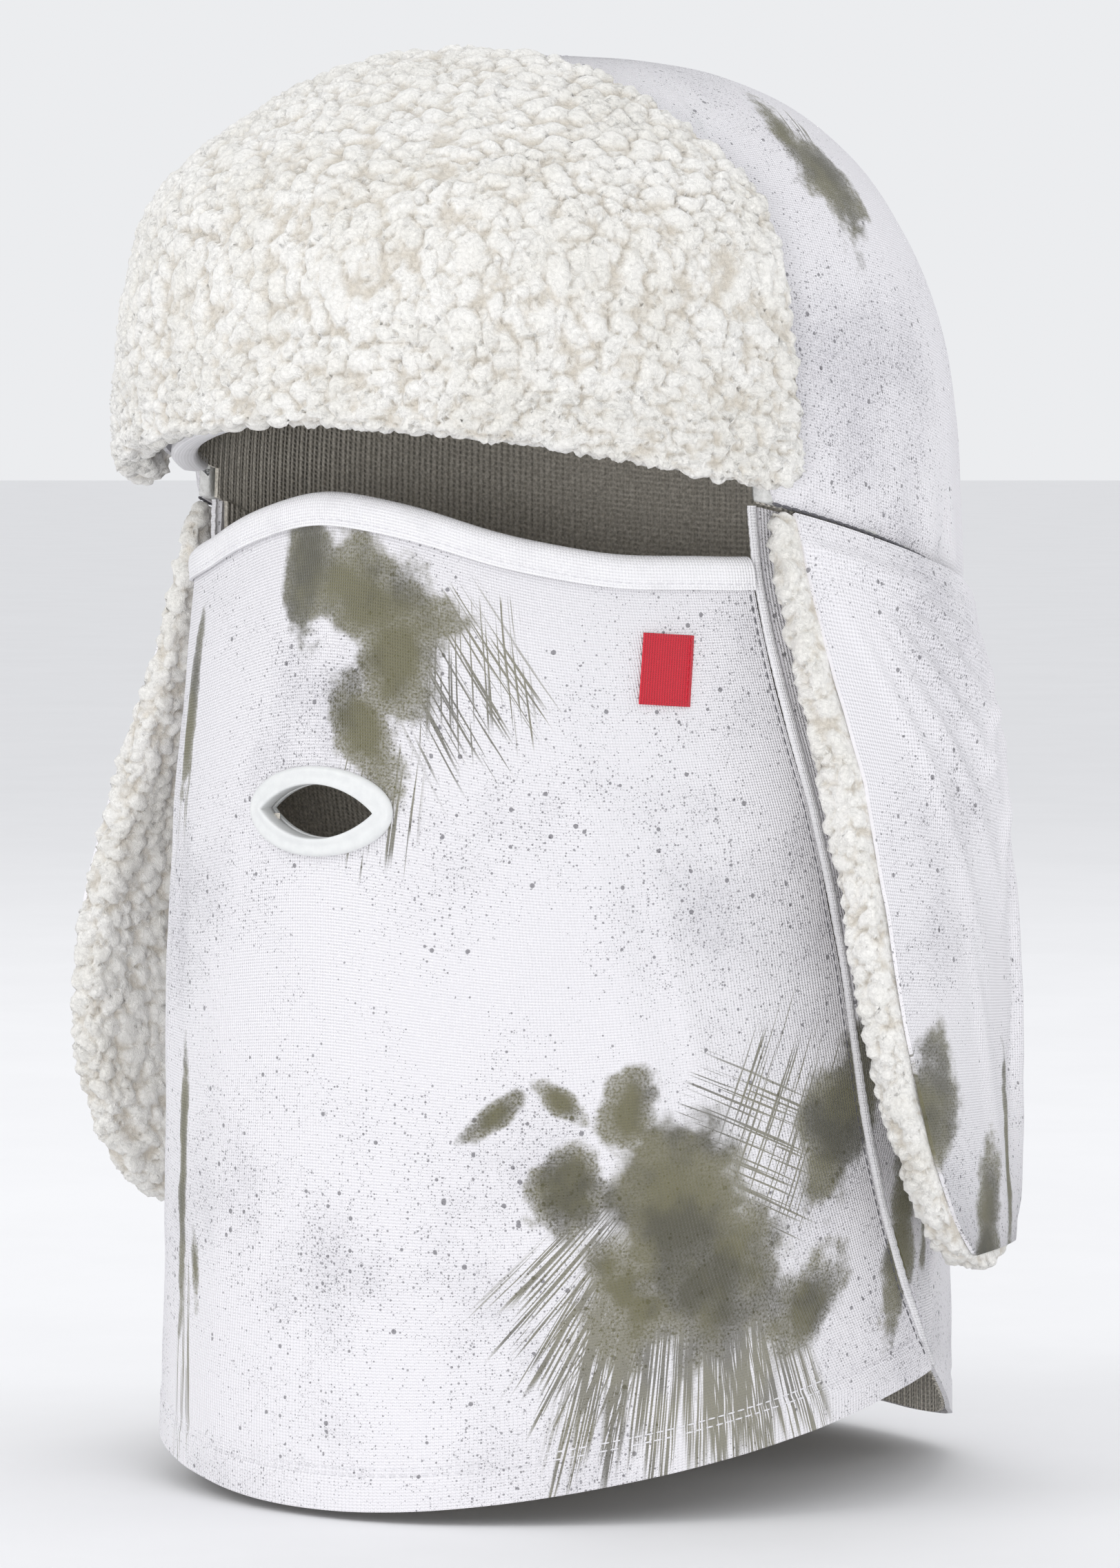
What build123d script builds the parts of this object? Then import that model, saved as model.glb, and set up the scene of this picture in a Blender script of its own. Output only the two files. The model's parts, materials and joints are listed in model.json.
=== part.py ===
from build123d import *
import os
from math import cos, sin, tan, radians, hypot

# Winter trapper hat with a built-in face mask. +Z is up, the wearer looks along -Y, and
# left is the wearer's left, +X. The origin is the middle of the head, level with the
# brow edge of the hat. All sizes are in millimetres.

# ---- crown ----
crown_half_width = 94.0
crown_half_depth = 108.0
crown_height = 91.0          # top of the shell above the brow level
crown_spring = -30.0         # level where the straight side turns into the dome
crown_roundness = 2.5        # 2 is an ellipse, more is squarer
crown_ring_angles = (0, 16, 31, 45, 58, 69, 78, 84)
seam_at_middle = -28.0       # level of the flap seam at the side of the head
seam_slope = 13.0            # degrees that the flap seam drops towards the back
brow_arch_rise = 17.5        # brow edge at the middle of the face above its corners
brow_corner_level = -17.0
face_side = -41.0            # y of the front edges of the ear flaps and of the eye opening

# ---- neck tube and mask ----
neck_levels = [-5, -40, -92, -160, -270]
neck_inset = [6.5, 5.0, 1.0, -0.5, -2.5]        # half-width inside the crown's
neck_depth_inset = [9.5, 8.0, 5.5, 5.0, 4.0]    # half-depth inside the crown's
neck_shift = [0.0, 0.0, -2.5, -4.0, -4.0]       # middle of the tube in y
mask_edge_top = -19.0
mask_edge_middle = (-20.0, -125.0)              # y and z halfway down the mask's side edge
mask_corner = (24.0, -233.0)                    # y and z of the mask's lower back corner
hem_front = -259.0
hem_cheek = (-69.0, -249.5)
back_hem_dip = (60.0, -249.0)
back_hem = -252.0

# ---- eye opening ----
bridge_top = -16.0           # binding over the nose
cheek_dip = -30.0            # binding under the eyes
bridge_half_span = 60.0      # from the nose to the lowest point under each eye
binding_height = 8.0
binding_cover = 4.5          # how far the fabric edge sits inside the binding

# ---- breathing ring ----
mouth_level = -92.0
ring_width = 42.4
ring_height = 21.8
mouth_width = 33.0
mouth_height = 12.8
ring_wall = 1.0

# ---- label ----
label_width = 13.0
label_height = 17.0
label_angle = -37.5          # around the head from the left ear
label_level = -58.0
label_tilt = -4.0

# ---- layers ----
shell_thick = 1.2
lining_thick = 1.3
insulation_thick = 3.6
ring_thick = 1.9
binding_thick = 0.9
label_thick = 0.6
trim_width = 3.2
trim_thick = 1.0
patch_thick = 0.6
patch_width = 60.0
patch_height = 18.0
patch_level = 58.0
facing_height = 9.0
brow_binding_height = 2.2

# ---- flaps ----
pile_thick = 9.0             # sherpa on the front flap, at the brow
pile_top_rise = 6.5          # the sherpa's outer face above the crown's shell, at the top
pile_roundness = 3.3         # its shape over the top, as for the crown
pile_ring_angles = (0, 10, 20, 31, 42, 53, 63, 72, 79, 84)
ear_pile_thick = 9.6         # sherpa on the ear and back flaps
ear_pile_at_seam = 3.6
ear_flap_low = -206.0
ear_rear_top = 76.0
ear_tongue_front = -28.0     # y of the tongue's front edge, low down
ear_tongue_rear = 52.0
ear_levels = [-8, -32, -60, -85, -115, -160, -215]
left_front_flare = [0.0, 2.0, 7.0, 13.0, 19.0, 26.0, 32.0]    # off the neck at each level
left_rear_flare = [0.0, 0.0, 0.0, 0.5, 1.0, 1.5, 4.0]
right_front_flare = [0.0, 5.0, 13.0, 21.0, 30.0, 41.0, 44.0]
right_rear_flare = [0.0, 0.0, 1.0, 2.0, 4.0, 6.0, 10.0]
flare_fade = 1.8             # how quickly the flare fades from the front edge to the back
back_flap_half_width = 55.0
back_flap_low = -132.0

# ---- clearances ----
layer_gap = 0.3              # between fabric layers of one body
seam_gap = 0.6               # across a seam
flap_gap = 0.9               # under the ear and back flaps
front_flap_side_gap = 2.5    # from the front flap's end to the ear flap's
patch_gap = 0.3              # between the two halves of the closure

far = 400.0                  # longer than the hat


def dome(side_offset, top_offset, roundness, ring_angles):
    """A dome over a straight-sided oval, outside the crown's shell by the two offsets. The
    rounder its shoulders, the more rings it needs."""
    half_width = crown_half_width + side_offset
    half_depth = crown_half_depth + side_offset
    rise = crown_height - crown_spring + top_offset
    power = 2 / roundness
    rings = [Pos(0, 0, crown_spring - 60) * Ellipse(half_width, half_depth)]
    for angle in ring_angles:
        level = crown_spring + rise * sin(radians(angle)) ** power
        share = cos(radians(angle)) ** power
        rings.append(Pos(0, 0, level) * Ellipse(half_width * share, half_depth * share))
    return loft(rings)


def crown_form(offset):
    """The solid inside the crown's shell, grown by offset."""
    return dome(offset, offset, crown_roundness, crown_ring_angles)


def neck_ring(index, offset):
    """Half-width, half-depth and shift of the neck tube at one of its levels."""
    half_width = crown_half_width - neck_inset[index] + offset
    half_depth = crown_half_depth - neck_depth_inset[index] + offset
    return half_width, half_depth, neck_shift[index]


def neck_at(level):
    """Half-width, half-depth and shift of the neck tube at any level."""
    last = len(neck_levels) - 2
    index = min(sum(level < upper for upper in neck_levels[1:]), last)
    upper, lower = neck_levels[index], neck_levels[index + 1]
    share = (upper - level) / (upper - lower)
    above, below = neck_ring(index, 0), neck_ring(index + 1, 0)
    return [a + share * (b - a) for a, b in zip(above, below)]


def neck_form(offset):
    """The solid inside the mask and neck panels, grown by offset."""
    rings = []
    for index, level in enumerate(neck_levels):
        half_width, half_depth, shift = neck_ring(index, offset)
        rings.append(Pos(0, shift, level) * Ellipse(half_width, half_depth))
    return loft(rings, ruled=True)


def crown_layer(outer, inner):
    return crown_form(outer) - crown_form(inner)


def neck_layer(outer, inner):
    return neck_form(outer) - neck_form(inner)


def side_prism(*edges):
    """A closed outline of (y, z) edges, extruded right through the hat along X."""
    face = Plane.YZ * make_face(edges)
    return extrude(face, far / 2, both=True)


def half_space(side):
    """Everything left (+1) or right (-1) of the hat's middle, short of it by half a seam."""
    return Pos(side * (far / 2 + seam_gap / 2), 0, 0) * Box(far, far, 2 * far)


def seam_level(y):
    return seam_at_middle - tan(radians(seam_slope)) * y


def brow_arch(lift):
    """The brow edge seen from the front, as an arc raised by lift."""
    ends = crown_half_width + 3
    return ThreePointArc((-ends, brow_corner_level + lift),
                         (0, brow_corner_level + brow_arch_rise + lift),
                         (ends, brow_corner_level + lift))


def under_brow(lift):
    """Everything in front of the ears and below the brow edge."""
    arch = brow_arch(lift)
    left, right = arch @ 1, arch @ 0
    base = Polyline((left.X, left.Y), (left.X, -far), (right.X, -far), (right.X, right.Y))
    block = extrude(Plane.XZ * make_face([arch, base]), far / 2)
    return block & (Pos(0, face_side - far / 2, 0) * Box(far, far, 2 * far))


def above_seam(gap):
    """Everything above the flap seam at the sides and back, and above the brow corners in front."""
    corner = seam_level(face_side) + gap
    outline = Polyline((-far / 2, corner), (face_side, corner), (far / 2, seam_level(far / 2) + gap),
                       (far / 2, far / 2), (-far / 2, far / 2), close=True)
    return side_prism(outline)


def crown_piece(outer, inner, lift):
    return crown_layer(outer, inner) & above_seam(seam_gap / 2) - under_brow(lift)


def mask_edge(shift):
    """The mask's side edge seen from the side, moved towards the back by shift."""
    return Spline((face_side + shift, mask_edge_top),
                  (mask_edge_middle[0] + shift, mask_edge_middle[1]),
                  (mask_corner[0] + shift, mask_corner[1]),
                  tangents=[(0, -1), (1, -1.05)])


def mask_hem(lift):
    """The mask's hem seen from the side, from its back corner to the chin."""
    return Spline((mask_corner[0], mask_corner[1] + lift), (hem_cheek[0], hem_cheek[1] + lift),
                  (neck_ring(4, 0)[2] - neck_ring(4, 0)[1], hem_front + lift))


def mask_side_outline(shift):
    """Everything in front of the mask's side edge and above its hem."""
    edge = mask_edge(shift)
    foot = edge @ 1
    hem = mask_hem(0)
    corner, chin = hem @ 0, hem @ 1
    rest = Polyline((chin.X, chin.Y), (-far / 2, hem_front), (-far / 2, mask_edge_top),
                    (face_side + shift, mask_edge_top))
    pieces = [edge, hem, rest]
    if shift:
        pieces.append(Line((foot.X, foot.Y), (corner.X, corner.Y)))
    return side_prism(*pieces)


def bridge_curve(drop):
    """The top of the mask under the eyes, seen from the front and lowered by drop."""
    ends = crown_half_width + 6
    return Spline((-ends, cheek_dip - 1 - drop), (-bridge_half_span, cheek_dip - drop),
                  (0, bridge_top - drop), (bridge_half_span, cheek_dip - drop),
                  (ends, cheek_dip - 1 - drop), tangents=[(1, 0), (1, 0)])


def below_bridge(drop):
    curve = bridge_curve(drop)
    start, end = curve @ 0, curve @ 1
    base = Polyline((end.X, end.Y), (end.X, -far), (start.X, -far), (start.X, start.Y))
    return extrude(Plane.XZ * make_face([curve, base]), far / 2, both=True)


def mouth_outline(grow):
    """The almond-shaped mouth opening, grown by grow."""
    half = mouth_width / 2 + grow
    high = mouth_height / 2 + grow
    return Plane.XZ * Pos(0, mouth_level) * make_face([
        ThreePointArc((-half, 0), (0, high), (half, 0)),
        ThreePointArc((half, 0), (0, -high), (-half, 0))])


def mouth_prism(grow):
    return extrude(mouth_outline(grow), far / 2)


def ring_prism():
    return extrude(Plane.XZ * Pos(0, mouth_level) * Ellipse(ring_width / 2, ring_height / 2), far / 2)


# ---- crown of the hat ----

insulation_outer = -shell_thick - layer_gap
crown_lining_outer = insulation_outer - insulation_thick - layer_gap
crown_lining_inner = crown_lining_outer - lining_thick


def crown_shell(side):
    return crown_piece(0, -shell_thick, brow_binding_height + layer_gap) & half_space(side)


def crown_insulation():
    lift = brow_binding_height + layer_gap
    return crown_piece(insulation_outer, insulation_outer - insulation_thick, lift)


def crown_lining():
    return crown_piece(crown_lining_outer, crown_lining_inner, brow_binding_height + layer_gap)


def brow_binding():
    strip = crown_layer(0, crown_lining_inner) & above_seam(seam_gap / 2)
    strip = strip & under_brow(brow_binding_height)
    return strip - under_brow(0)


# ---- mask ----

neck_lining_outer = -shell_thick - layer_gap
neck_lining_inner = neck_lining_outer - lining_thick


def mask_piece(outer, inner, hole):
    panel = neck_layer(outer, inner) & mask_side_outline(0)
    panel = panel & below_bridge(binding_cover)
    return panel - mouth_prism(hole)


def mask_shell():
    return mask_piece(0, -shell_thick, ring_wall + layer_gap)


def mask_lining():
    return mask_piece(neck_lining_outer, neck_lining_inner, ring_wall + layer_gap)


def nose_bridge_binding():
    """A folded strip over the mask's top edge, as an upside-down channel."""
    outer = layer_gap + binding_thick
    inner = neck_lining_inner - layer_gap - binding_thick
    strip = neck_layer(outer, inner) & mask_side_outline(0)
    strip = strip & below_bridge(0) - below_bridge(binding_height)
    channel = neck_layer(layer_gap, neck_lining_inner - layer_gap)
    return strip - (channel & below_bridge(binding_cover - layer_gap))


def mask_hem_facing():
    """The turned-up hem, inside the lining along the bottom of the mask."""
    outer = neck_lining_inner - layer_gap
    band = neck_layer(outer, outer - lining_thick) & mask_side_outline(0)
    hem = mask_hem(facing_height)
    corner, chin = hem @ 0, hem @ 1
    rest = Polyline((chin.X, chin.Y), (-far / 2, chin.Y), (-far / 2, -far), (corner.X, -far),
                    (corner.X, corner.Y))
    return band & side_prism(hem, rest)


def edge_trim(side):
    """The white strip over the seam between the mask and a neck panel."""
    strip = neck_layer(trim_thick, -shell_thick)
    strip = strip & mask_side_outline(seam_gap / 2 + trim_width) - mask_side_outline(seam_gap / 2)
    strip = strip & half_space(side)
    return strip & Pos(0, 0, mask_corner[1] + far / 2) * Box(far, far, far)


def breathing_ring():
    """The moulded ring in front of the mask, with the sleeve that goes through it."""
    flange = neck_layer(layer_gap + ring_thick, layer_gap) & ring_prism()
    sleeve = neck_layer(layer_gap + ring_thick, neck_lining_inner - layer_gap) & mouth_prism(ring_wall)
    return flange + sleeve - mouth_prism(0)


def breathing_ring_backing():
    outer = neck_lining_inner - 2 * layer_gap
    return (neck_layer(outer, outer - ring_thick / 2) & ring_prism()) - mouth_prism(0)


def side_label():
    half_width, half_depth, shift = neck_at(label_level)
    across, along = cos(radians(label_angle)), sin(radians(label_angle))
    spot = Vector(half_width * across, half_depth * along + shift, label_level)
    out = Vector(across / half_width, along / half_depth, 0).normalized()
    place = Plane(origin=spot, x_dir=Vector(0, 0, 1).cross(out), z_dir=out)
    block = place * Rot(0, 0, label_tilt) * Box(label_width, label_height, 20)
    return neck_layer(layer_gap + label_thick, layer_gap) & block


# ---- neck ----

neck_front_shift = trim_width + seam_gap


def neck_outline():
    """Everything behind the mask's edge trim, below the flap seam and above the back hem."""
    start = seam_level(face_side + neck_front_shift) - seam_gap / 2
    edge = Spline((face_side + neck_front_shift, start),
                  (mask_edge_middle[0] + neck_front_shift, mask_edge_middle[1]),
                  (mask_corner[0] + neck_front_shift, mask_corner[1]),
                  tangents=[(0, -1), (1, -1.05)])
    back = neck_ring(4, 0)[1]
    hem = Spline((mask_corner[0] + neck_front_shift, mask_corner[1]), back_hem_dip, (back, back_hem))
    rest = Polyline((back, back_hem), (far / 2, back_hem), (far / 2, seam_level(far / 2) - seam_gap / 2),
                    (face_side + neck_front_shift, start))
    return side_prism(edge, hem, rest)


def neck_panel(side):
    return neck_layer(0, -shell_thick) & neck_outline() & half_space(side)


def neck_lining():
    return neck_layer(neck_lining_outer, neck_lining_inner) & neck_outline()


# ---- ear flaps ----

def ear_ring(side, index, depth, front, rear):
    """One level of an ear flap: a curve from beyond its front edge to beyond its back edge,
    depth outside the flap's inner face."""
    half_width, half_depth, shift = neck_at(ear_levels[index])
    first, last = -42, 63
    points = []
    for angle in range(first, last + 1, 21):
        across, along = cos(radians(angle)), sin(radians(angle))
        fade = ((last - angle) / (last - first)) ** flare_fade
        stand_off = rear[index] + fade * (front[index] - rear[index])
        out = Vector(across / half_width, along / half_depth, 0).normalized()
        reach = flap_gap + stand_off + depth
        points.append(Vector(side * (half_width * across + out.X * reach),
                             half_depth * along + shift + out.Y * reach, ear_levels[index]))
    return points


def ear_layer(side, inner_depths, outer_depths, front, rear):
    """A lofted sheet between two depths, which are given for each level."""
    rings = []
    for index in range(len(ear_levels)):
        inner = ear_ring(side, index, inner_depths[index], front, rear)
        outer = ear_ring(side, index, outer_depths[index], front, rear)
        rings.append(make_face([Spline(*inner), Line(inner[-1], outer[-1]),
                                Spline(*reversed(outer)), Line(outer[0], inner[0])]))
    return loft(rings, ruled=True)


def ear_outline():
    """The ear flap's tongue seen from the side, under the flap seam."""
    top_front = (face_side + 1, seam_level(face_side + 1) - seam_gap)
    top_rear = (ear_rear_top, seam_level(ear_rear_top) - seam_gap)
    middle = (ear_tongue_front + ear_tongue_rear) / 2
    front = Spline(top_front, (face_side + 4, -90), (ear_tongue_front, ear_flap_low + 45),
                   (middle, ear_flap_low), tangents=[(0, -1), (1, 0)])
    rear = Spline((middle, ear_flap_low), (ear_tongue_rear, ear_flap_low + 42),
                  (ear_rear_top - 8, -100), top_rear, tangents=[(1, 0), (0.1, 1)])
    return side_prism(front, rear, Line(top_rear, top_front))


def ear_depths(seam_depth, low_depth):
    """Layer depth at each level: thin at the seam, full from the fourth level down."""
    steps = [0, 0.35, 0.75, 1, 1, 1, 1]
    return [seam_depth + step * (low_depth - seam_depth) for step in steps]


def ear_flap(side):
    front = left_front_flare if side > 0 else right_front_flare
    rear = left_rear_flare if side > 0 else right_rear_flare
    pile_top = ear_depths(ear_pile_at_seam, ear_pile_thick)
    skin_inner = [depth + layer_gap for depth in pile_top]
    skin_outer = [depth + shell_thick for depth in skin_inner]
    outline = ear_outline() & half_space(side)
    sherpa = ear_layer(side, [0] * len(ear_levels), pile_top, front, rear) & outline
    shell = ear_layer(side, skin_inner, skin_outer, front, rear) & outline
    return sherpa, shell


# ---- back flap ----

def back_outline():
    """The back flap seen from behind, with round lower corners."""
    top = seam_level(0)
    corner = 18.0
    sketch = Polyline((-back_flap_half_width, top), (-back_flap_half_width, back_flap_low),
                      (back_flap_half_width, back_flap_low), (back_flap_half_width, top), close=True)
    face = make_face([sketch])
    face = fillet(face.vertices().sort_by(Axis.Y)[:2], corner)
    block = extrude(Plane.XZ * face, -far / 2)
    return block - above_seam(-seam_gap)


def back_form(depth_top, depth_low):
    rings = []
    upper, low = neck_levels[1], neck_levels[2]
    full = (upper + low) / 2
    for level, depth in ((neck_levels[0], depth_top), (upper, depth_top), (full, depth_low),
                         (low, depth_low), (neck_levels[3], depth_low)):
        half_width, half_depth, shift = neck_at(level)
        reach = flap_gap + depth
        rings.append(Pos(0, shift, level) * Ellipse(half_width + reach, half_depth + reach))
    return loft(rings, ruled=True)


def back_flap():
    outline = back_outline()
    sherpa = (back_form(ear_pile_at_seam, ear_pile_thick) - back_form(0, 0)) & outline
    skin = layer_gap + shell_thick
    outer = back_form(ear_pile_at_seam + skin, ear_pile_thick + skin)
    inner = back_form(ear_pile_at_seam + layer_gap, ear_pile_thick + layer_gap)
    return sherpa, (outer - inner) & outline


# ---- front flap ----

flap_shell_inner = layer_gap + 2 * patch_thick + patch_gap + layer_gap
flap_pile_inner = flap_shell_inner + shell_thick + layer_gap
front_flap_rear = face_side - front_flap_side_gap


def front_flap_piece(sheet):
    """The part of a sheet that lies in front of the ears and above the brow edge."""
    block = Pos(0, front_flap_rear - far / 2, 0) * Box(far, far, 2 * far)
    piece = (sheet & block) - under_brow(0)
    return piece & Pos(0, 0, brow_corner_level + far / 2) * Box(far, far, far)


def front_flap_sherpa():
    outer = dome(flap_pile_inner + pile_thick, pile_top_rise, pile_roundness, pile_ring_angles)
    return front_flap_piece(outer - crown_form(flap_pile_inner))


def front_flap_shell():
    return front_flap_piece(crown_layer(flap_shell_inner + shell_thick, flap_shell_inner))


def closure_patch(outer, inner):
    block = Pos(0, -far / 4, patch_level) * Box(patch_width, far / 2, patch_height)
    return crown_layer(outer, inner) & block


def flap_hook_patch():
    return closure_patch(layer_gap + patch_thick, layer_gap)


def flap_loop_patch():
    inner = layer_gap + patch_thick + patch_gap
    return closure_patch(inner + patch_thick, inner)


# ---- all the sub-parts ----

def build():
    left_pile, left_skin = ear_flap(1)
    right_pile, right_skin = ear_flap(-1)
    back_pile, back_skin = back_flap()
    return {
        "crown_shell_left": crown_shell(1),
        "crown_shell_right": crown_shell(-1),
        "crown_insulation": crown_insulation(),
        "crown_lining": crown_lining(),
        "brow_binding": brow_binding(),
        "flap_hook_patch": flap_hook_patch(),
        "mask_shell": mask_shell(),
        "mask_lining": mask_lining(),
        "nose_bridge_binding": nose_bridge_binding(),
        "mask_hem_facing": mask_hem_facing(),
        "mask_edge_trim_left": edge_trim(1),
        "mask_edge_trim_right": edge_trim(-1),
        "breathing_ring": breathing_ring(),
        "breathing_ring_backing": breathing_ring_backing(),
        "side_label": side_label(),
        "neck_panel_left": neck_panel(1),
        "neck_panel_right": neck_panel(-1),
        "neck_lining": neck_lining(),
        "back_flap_sherpa": back_pile,
        "back_flap_shell": back_skin,
        "left_ear_flap_sherpa": left_pile,
        "left_ear_flap_shell": left_skin,
        "right_ear_flap_sherpa": right_pile,
        "right_ear_flap_shell": right_skin,
        "front_flap_sherpa": front_flap_sherpa(),
        "front_flap_shell": front_flap_shell(),
        "flap_loop_patch": flap_loop_patch(),
    }


os.makedirs("parts", exist_ok=True)
for name, solid in build().items():
    export_step(solid, f"parts/{name}.step")
    print(f"{name}: {len(solid.solids())} solid, {solid.volume / 1000:.1f} cm3")
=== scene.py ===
# %% [markdown]
# # A winter trapper hat with a built-in face mask
# The hat is a soft thing: sheets of printed cloth, a curly pile like sheep's wool, a ribbed
# lining, and one small moulded ring at the mouth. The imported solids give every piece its
# place and size. This script makes the cloth, the pile, the seams and the finishes.

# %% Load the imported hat
import json
import math

import bpy
import numpy as np
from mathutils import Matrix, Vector, noise
from mathutils.geometry import convex_hull_2d
from mathutils.bvhtree import BVHTree

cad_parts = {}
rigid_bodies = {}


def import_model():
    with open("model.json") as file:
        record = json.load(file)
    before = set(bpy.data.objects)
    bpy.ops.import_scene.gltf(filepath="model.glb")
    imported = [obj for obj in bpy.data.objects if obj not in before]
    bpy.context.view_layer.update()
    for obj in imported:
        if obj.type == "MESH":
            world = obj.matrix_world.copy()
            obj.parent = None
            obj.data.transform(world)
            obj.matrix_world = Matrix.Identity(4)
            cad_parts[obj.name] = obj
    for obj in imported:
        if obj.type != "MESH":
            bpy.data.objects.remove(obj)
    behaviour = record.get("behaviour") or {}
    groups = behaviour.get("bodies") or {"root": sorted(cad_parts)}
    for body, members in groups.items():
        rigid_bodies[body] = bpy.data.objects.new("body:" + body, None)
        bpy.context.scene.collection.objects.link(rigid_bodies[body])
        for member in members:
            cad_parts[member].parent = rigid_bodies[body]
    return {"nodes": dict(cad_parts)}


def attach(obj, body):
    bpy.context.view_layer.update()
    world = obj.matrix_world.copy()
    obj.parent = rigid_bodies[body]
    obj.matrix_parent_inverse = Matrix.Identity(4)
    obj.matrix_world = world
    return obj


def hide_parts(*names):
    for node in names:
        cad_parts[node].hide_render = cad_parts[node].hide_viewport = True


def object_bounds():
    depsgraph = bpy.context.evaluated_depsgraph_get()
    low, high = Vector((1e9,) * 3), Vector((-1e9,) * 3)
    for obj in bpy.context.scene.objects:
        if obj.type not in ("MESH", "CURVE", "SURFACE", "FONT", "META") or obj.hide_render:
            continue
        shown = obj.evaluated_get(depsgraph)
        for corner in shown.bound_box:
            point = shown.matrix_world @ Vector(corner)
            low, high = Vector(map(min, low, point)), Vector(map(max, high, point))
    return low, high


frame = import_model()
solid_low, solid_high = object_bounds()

MM = 0.001
nodes = frame["nodes"]
print("hat size in mm:", [round(v / MM) for v in solid_high - solid_low])

# %% [markdown]
# ## Camera, floor and light
# The camera stands level with the hat's brow, 1.8 m away and 35 degrees round to the
# wearer's left, and looks slightly down. A long lens keeps the sides of the hat nearly
# parallel. Three large soft lamps and a pale world light the cloth without hard shadows.

# %% Camera
CAMERA_TURN = math.radians(35)
CAMERA_FAR = 1.8
CAMERA_LEVEL = 10 * MM
AIM_LEVEL = -90.3 * MM
AIM_ASIDE = -2.1 * MM

toward = Vector((math.sin(CAMERA_TURN), -math.cos(CAMERA_TURN), 0))
to_right = Vector((math.cos(CAMERA_TURN), math.sin(CAMERA_TURN), 0))
bpy.ops.object.camera_add()
camera = bpy.context.object
camera.name = "camera"
camera.location = toward * CAMERA_FAR + to_right * AIM_ASIDE + Vector((0, 0, CAMERA_LEVEL))
aim = to_right * AIM_ASIDE + Vector((0, 0, AIM_LEVEL))
camera.rotation_euler = (aim - camera.location).to_track_quat("-Z", "Y").to_euler()
camera.data.lens = 165.3
camera.data.clip_end = 20
bpy.context.scene.camera = camera

# %% Floor and lamps
bpy.ops.object.select_all(action="DESELECT")
bpy.ops.mesh.primitive_plane_add(size=80, location=(0, 0, solid_low.z - 2 * MM))
floor = bpy.context.object
floor.name = "floor"


def lamp(name, azimuth, rise, far, size, power):
    """A square soft lamp, aimed at the middle of the hat."""
    turn = math.radians(azimuth)
    lift = math.radians(rise)
    away = Vector((math.sin(turn) * math.cos(lift), -math.cos(turn) * math.cos(lift), math.sin(lift)))
    bpy.ops.object.light_add(type="AREA", location=away * far + Vector((0, 0, AIM_LEVEL)))
    made = bpy.context.object
    made.name = name
    made.data.shape = "SQUARE"
    made.data.size = size
    made.data.energy = power
    made.rotation_euler = away.to_track_quat("Z", "Y").to_euler()


lamp("lamp_key", -35, 40, 1.9, 0.8, 6)
lamp("lamp_side", 118, 22, 2.0, 0.7, 3.5)
lamp("lamp_back", 215, 50, 2.0, 1.2, 6)
lamp("lamp_fill", 30, 1, 2.1, 0.35, 12)

world = bpy.data.worlds.new("studio")
bpy.context.scene.world = world
world.use_nodes = True
world.node_tree.nodes["Background"].inputs["Color"].default_value = (0.93, 0.94, 0.96, 1)
world.node_tree.nodes["Background"].inputs["Strength"].default_value = 0.90
bpy.context.scene.view_settings.view_transform = "Standard"

# %% [markdown]
# ## Building materials from nodes
# Every finish is made of shader nodes, so it has no image behind it. `add_node` places one
# node, sets it and links what feeds it. An effect that several finishes share is a group
# with named inputs. Patterns read Object coordinates in metres, and the finer knit and rib
# read the cloth's own UV map, which is also in metres, so they follow the cloth.

# %% Helpers for nodes
def add_node(tree, kind, feeds=None, **settings):
    """A node with its settings. A feed is a value, or another node's output socket."""
    made = tree.nodes.new(kind)
    made.location = (len(tree.nodes) * 190 % 2280, -260 * (len(tree.nodes) // 12))
    for key, value in settings.items():
        setattr(made, key, value)
    for key, value in (feeds or {}).items():
        if isinstance(value, bpy.types.NodeSocket):
            tree.links.new(value, made.inputs[key])
        else:
            made.inputs[key].default_value = value
    return made


def sums(tree, operation, a, b=0.0):
    """One arithmetic node."""
    return add_node(tree, "ShaderNodeMath", {0: a, 1: b}, operation=operation).outputs[0]


def ramp(tree, value, low, high, out_low=0.0, out_high=1.0):
    """Turns low..high into out_low..out_high with soft ends."""
    made = add_node(tree, "ShaderNodeMapRange", {"Value": value, "From Min": low, "From Max": high,
                                                 "To Min": out_low, "To Max": out_high},
                    interpolation_type="SMOOTHSTEP")
    return made.outputs["Result"]


def mix_colour(tree, share, a, b, blend="MIX"):
    made = add_node(tree, "ShaderNodeMix", {0: share, 6: a, 7: b}, data_type="RGBA", blend_type=blend)
    return made.outputs[2]


def new_group(name, inputs, outputs):
    """An empty shader group. Inputs and outputs are (name, kind, default)."""
    group = bpy.data.node_groups.new(name, "ShaderNodeTree")
    for label, kind, default in inputs:
        socket = group.interface.new_socket(label, in_out="INPUT", socket_type=f"NodeSocket{kind}")
        socket.default_value = default
    for label, kind in outputs:
        group.interface.new_socket(label, in_out="OUTPUT", socket_type=f"NodeSocket{kind}")
    return group, group.nodes.new("NodeGroupInput"), group.nodes.new("NodeGroupOutput")


def use_group(tree, group, feeds):
    made = tree.nodes.new("ShaderNodeGroup")
    made.node_tree = group
    for key, value in feeds.items():
        if isinstance(value, bpy.types.NodeSocket):
            tree.links.new(value, made.inputs[key])
        else:
            made.inputs[key].default_value = value
    return made


def new_material(name, colour, roughness, **principled):
    """A Principled material. Constants go on the shader's own sockets."""
    material = bpy.data.materials.new(name)
    material.use_nodes = True
    shader = material.node_tree.nodes["Principled BSDF"]
    shader.inputs["Base Color"].default_value = (*colour, 1)
    shader.inputs["Roughness"].default_value = roughness
    for key, value in principled.items():
        shader.inputs[key.replace("_", " ")].default_value = value
    material.diffuse_color = (*colour, 1)
    return material, material.node_tree, shader


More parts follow.
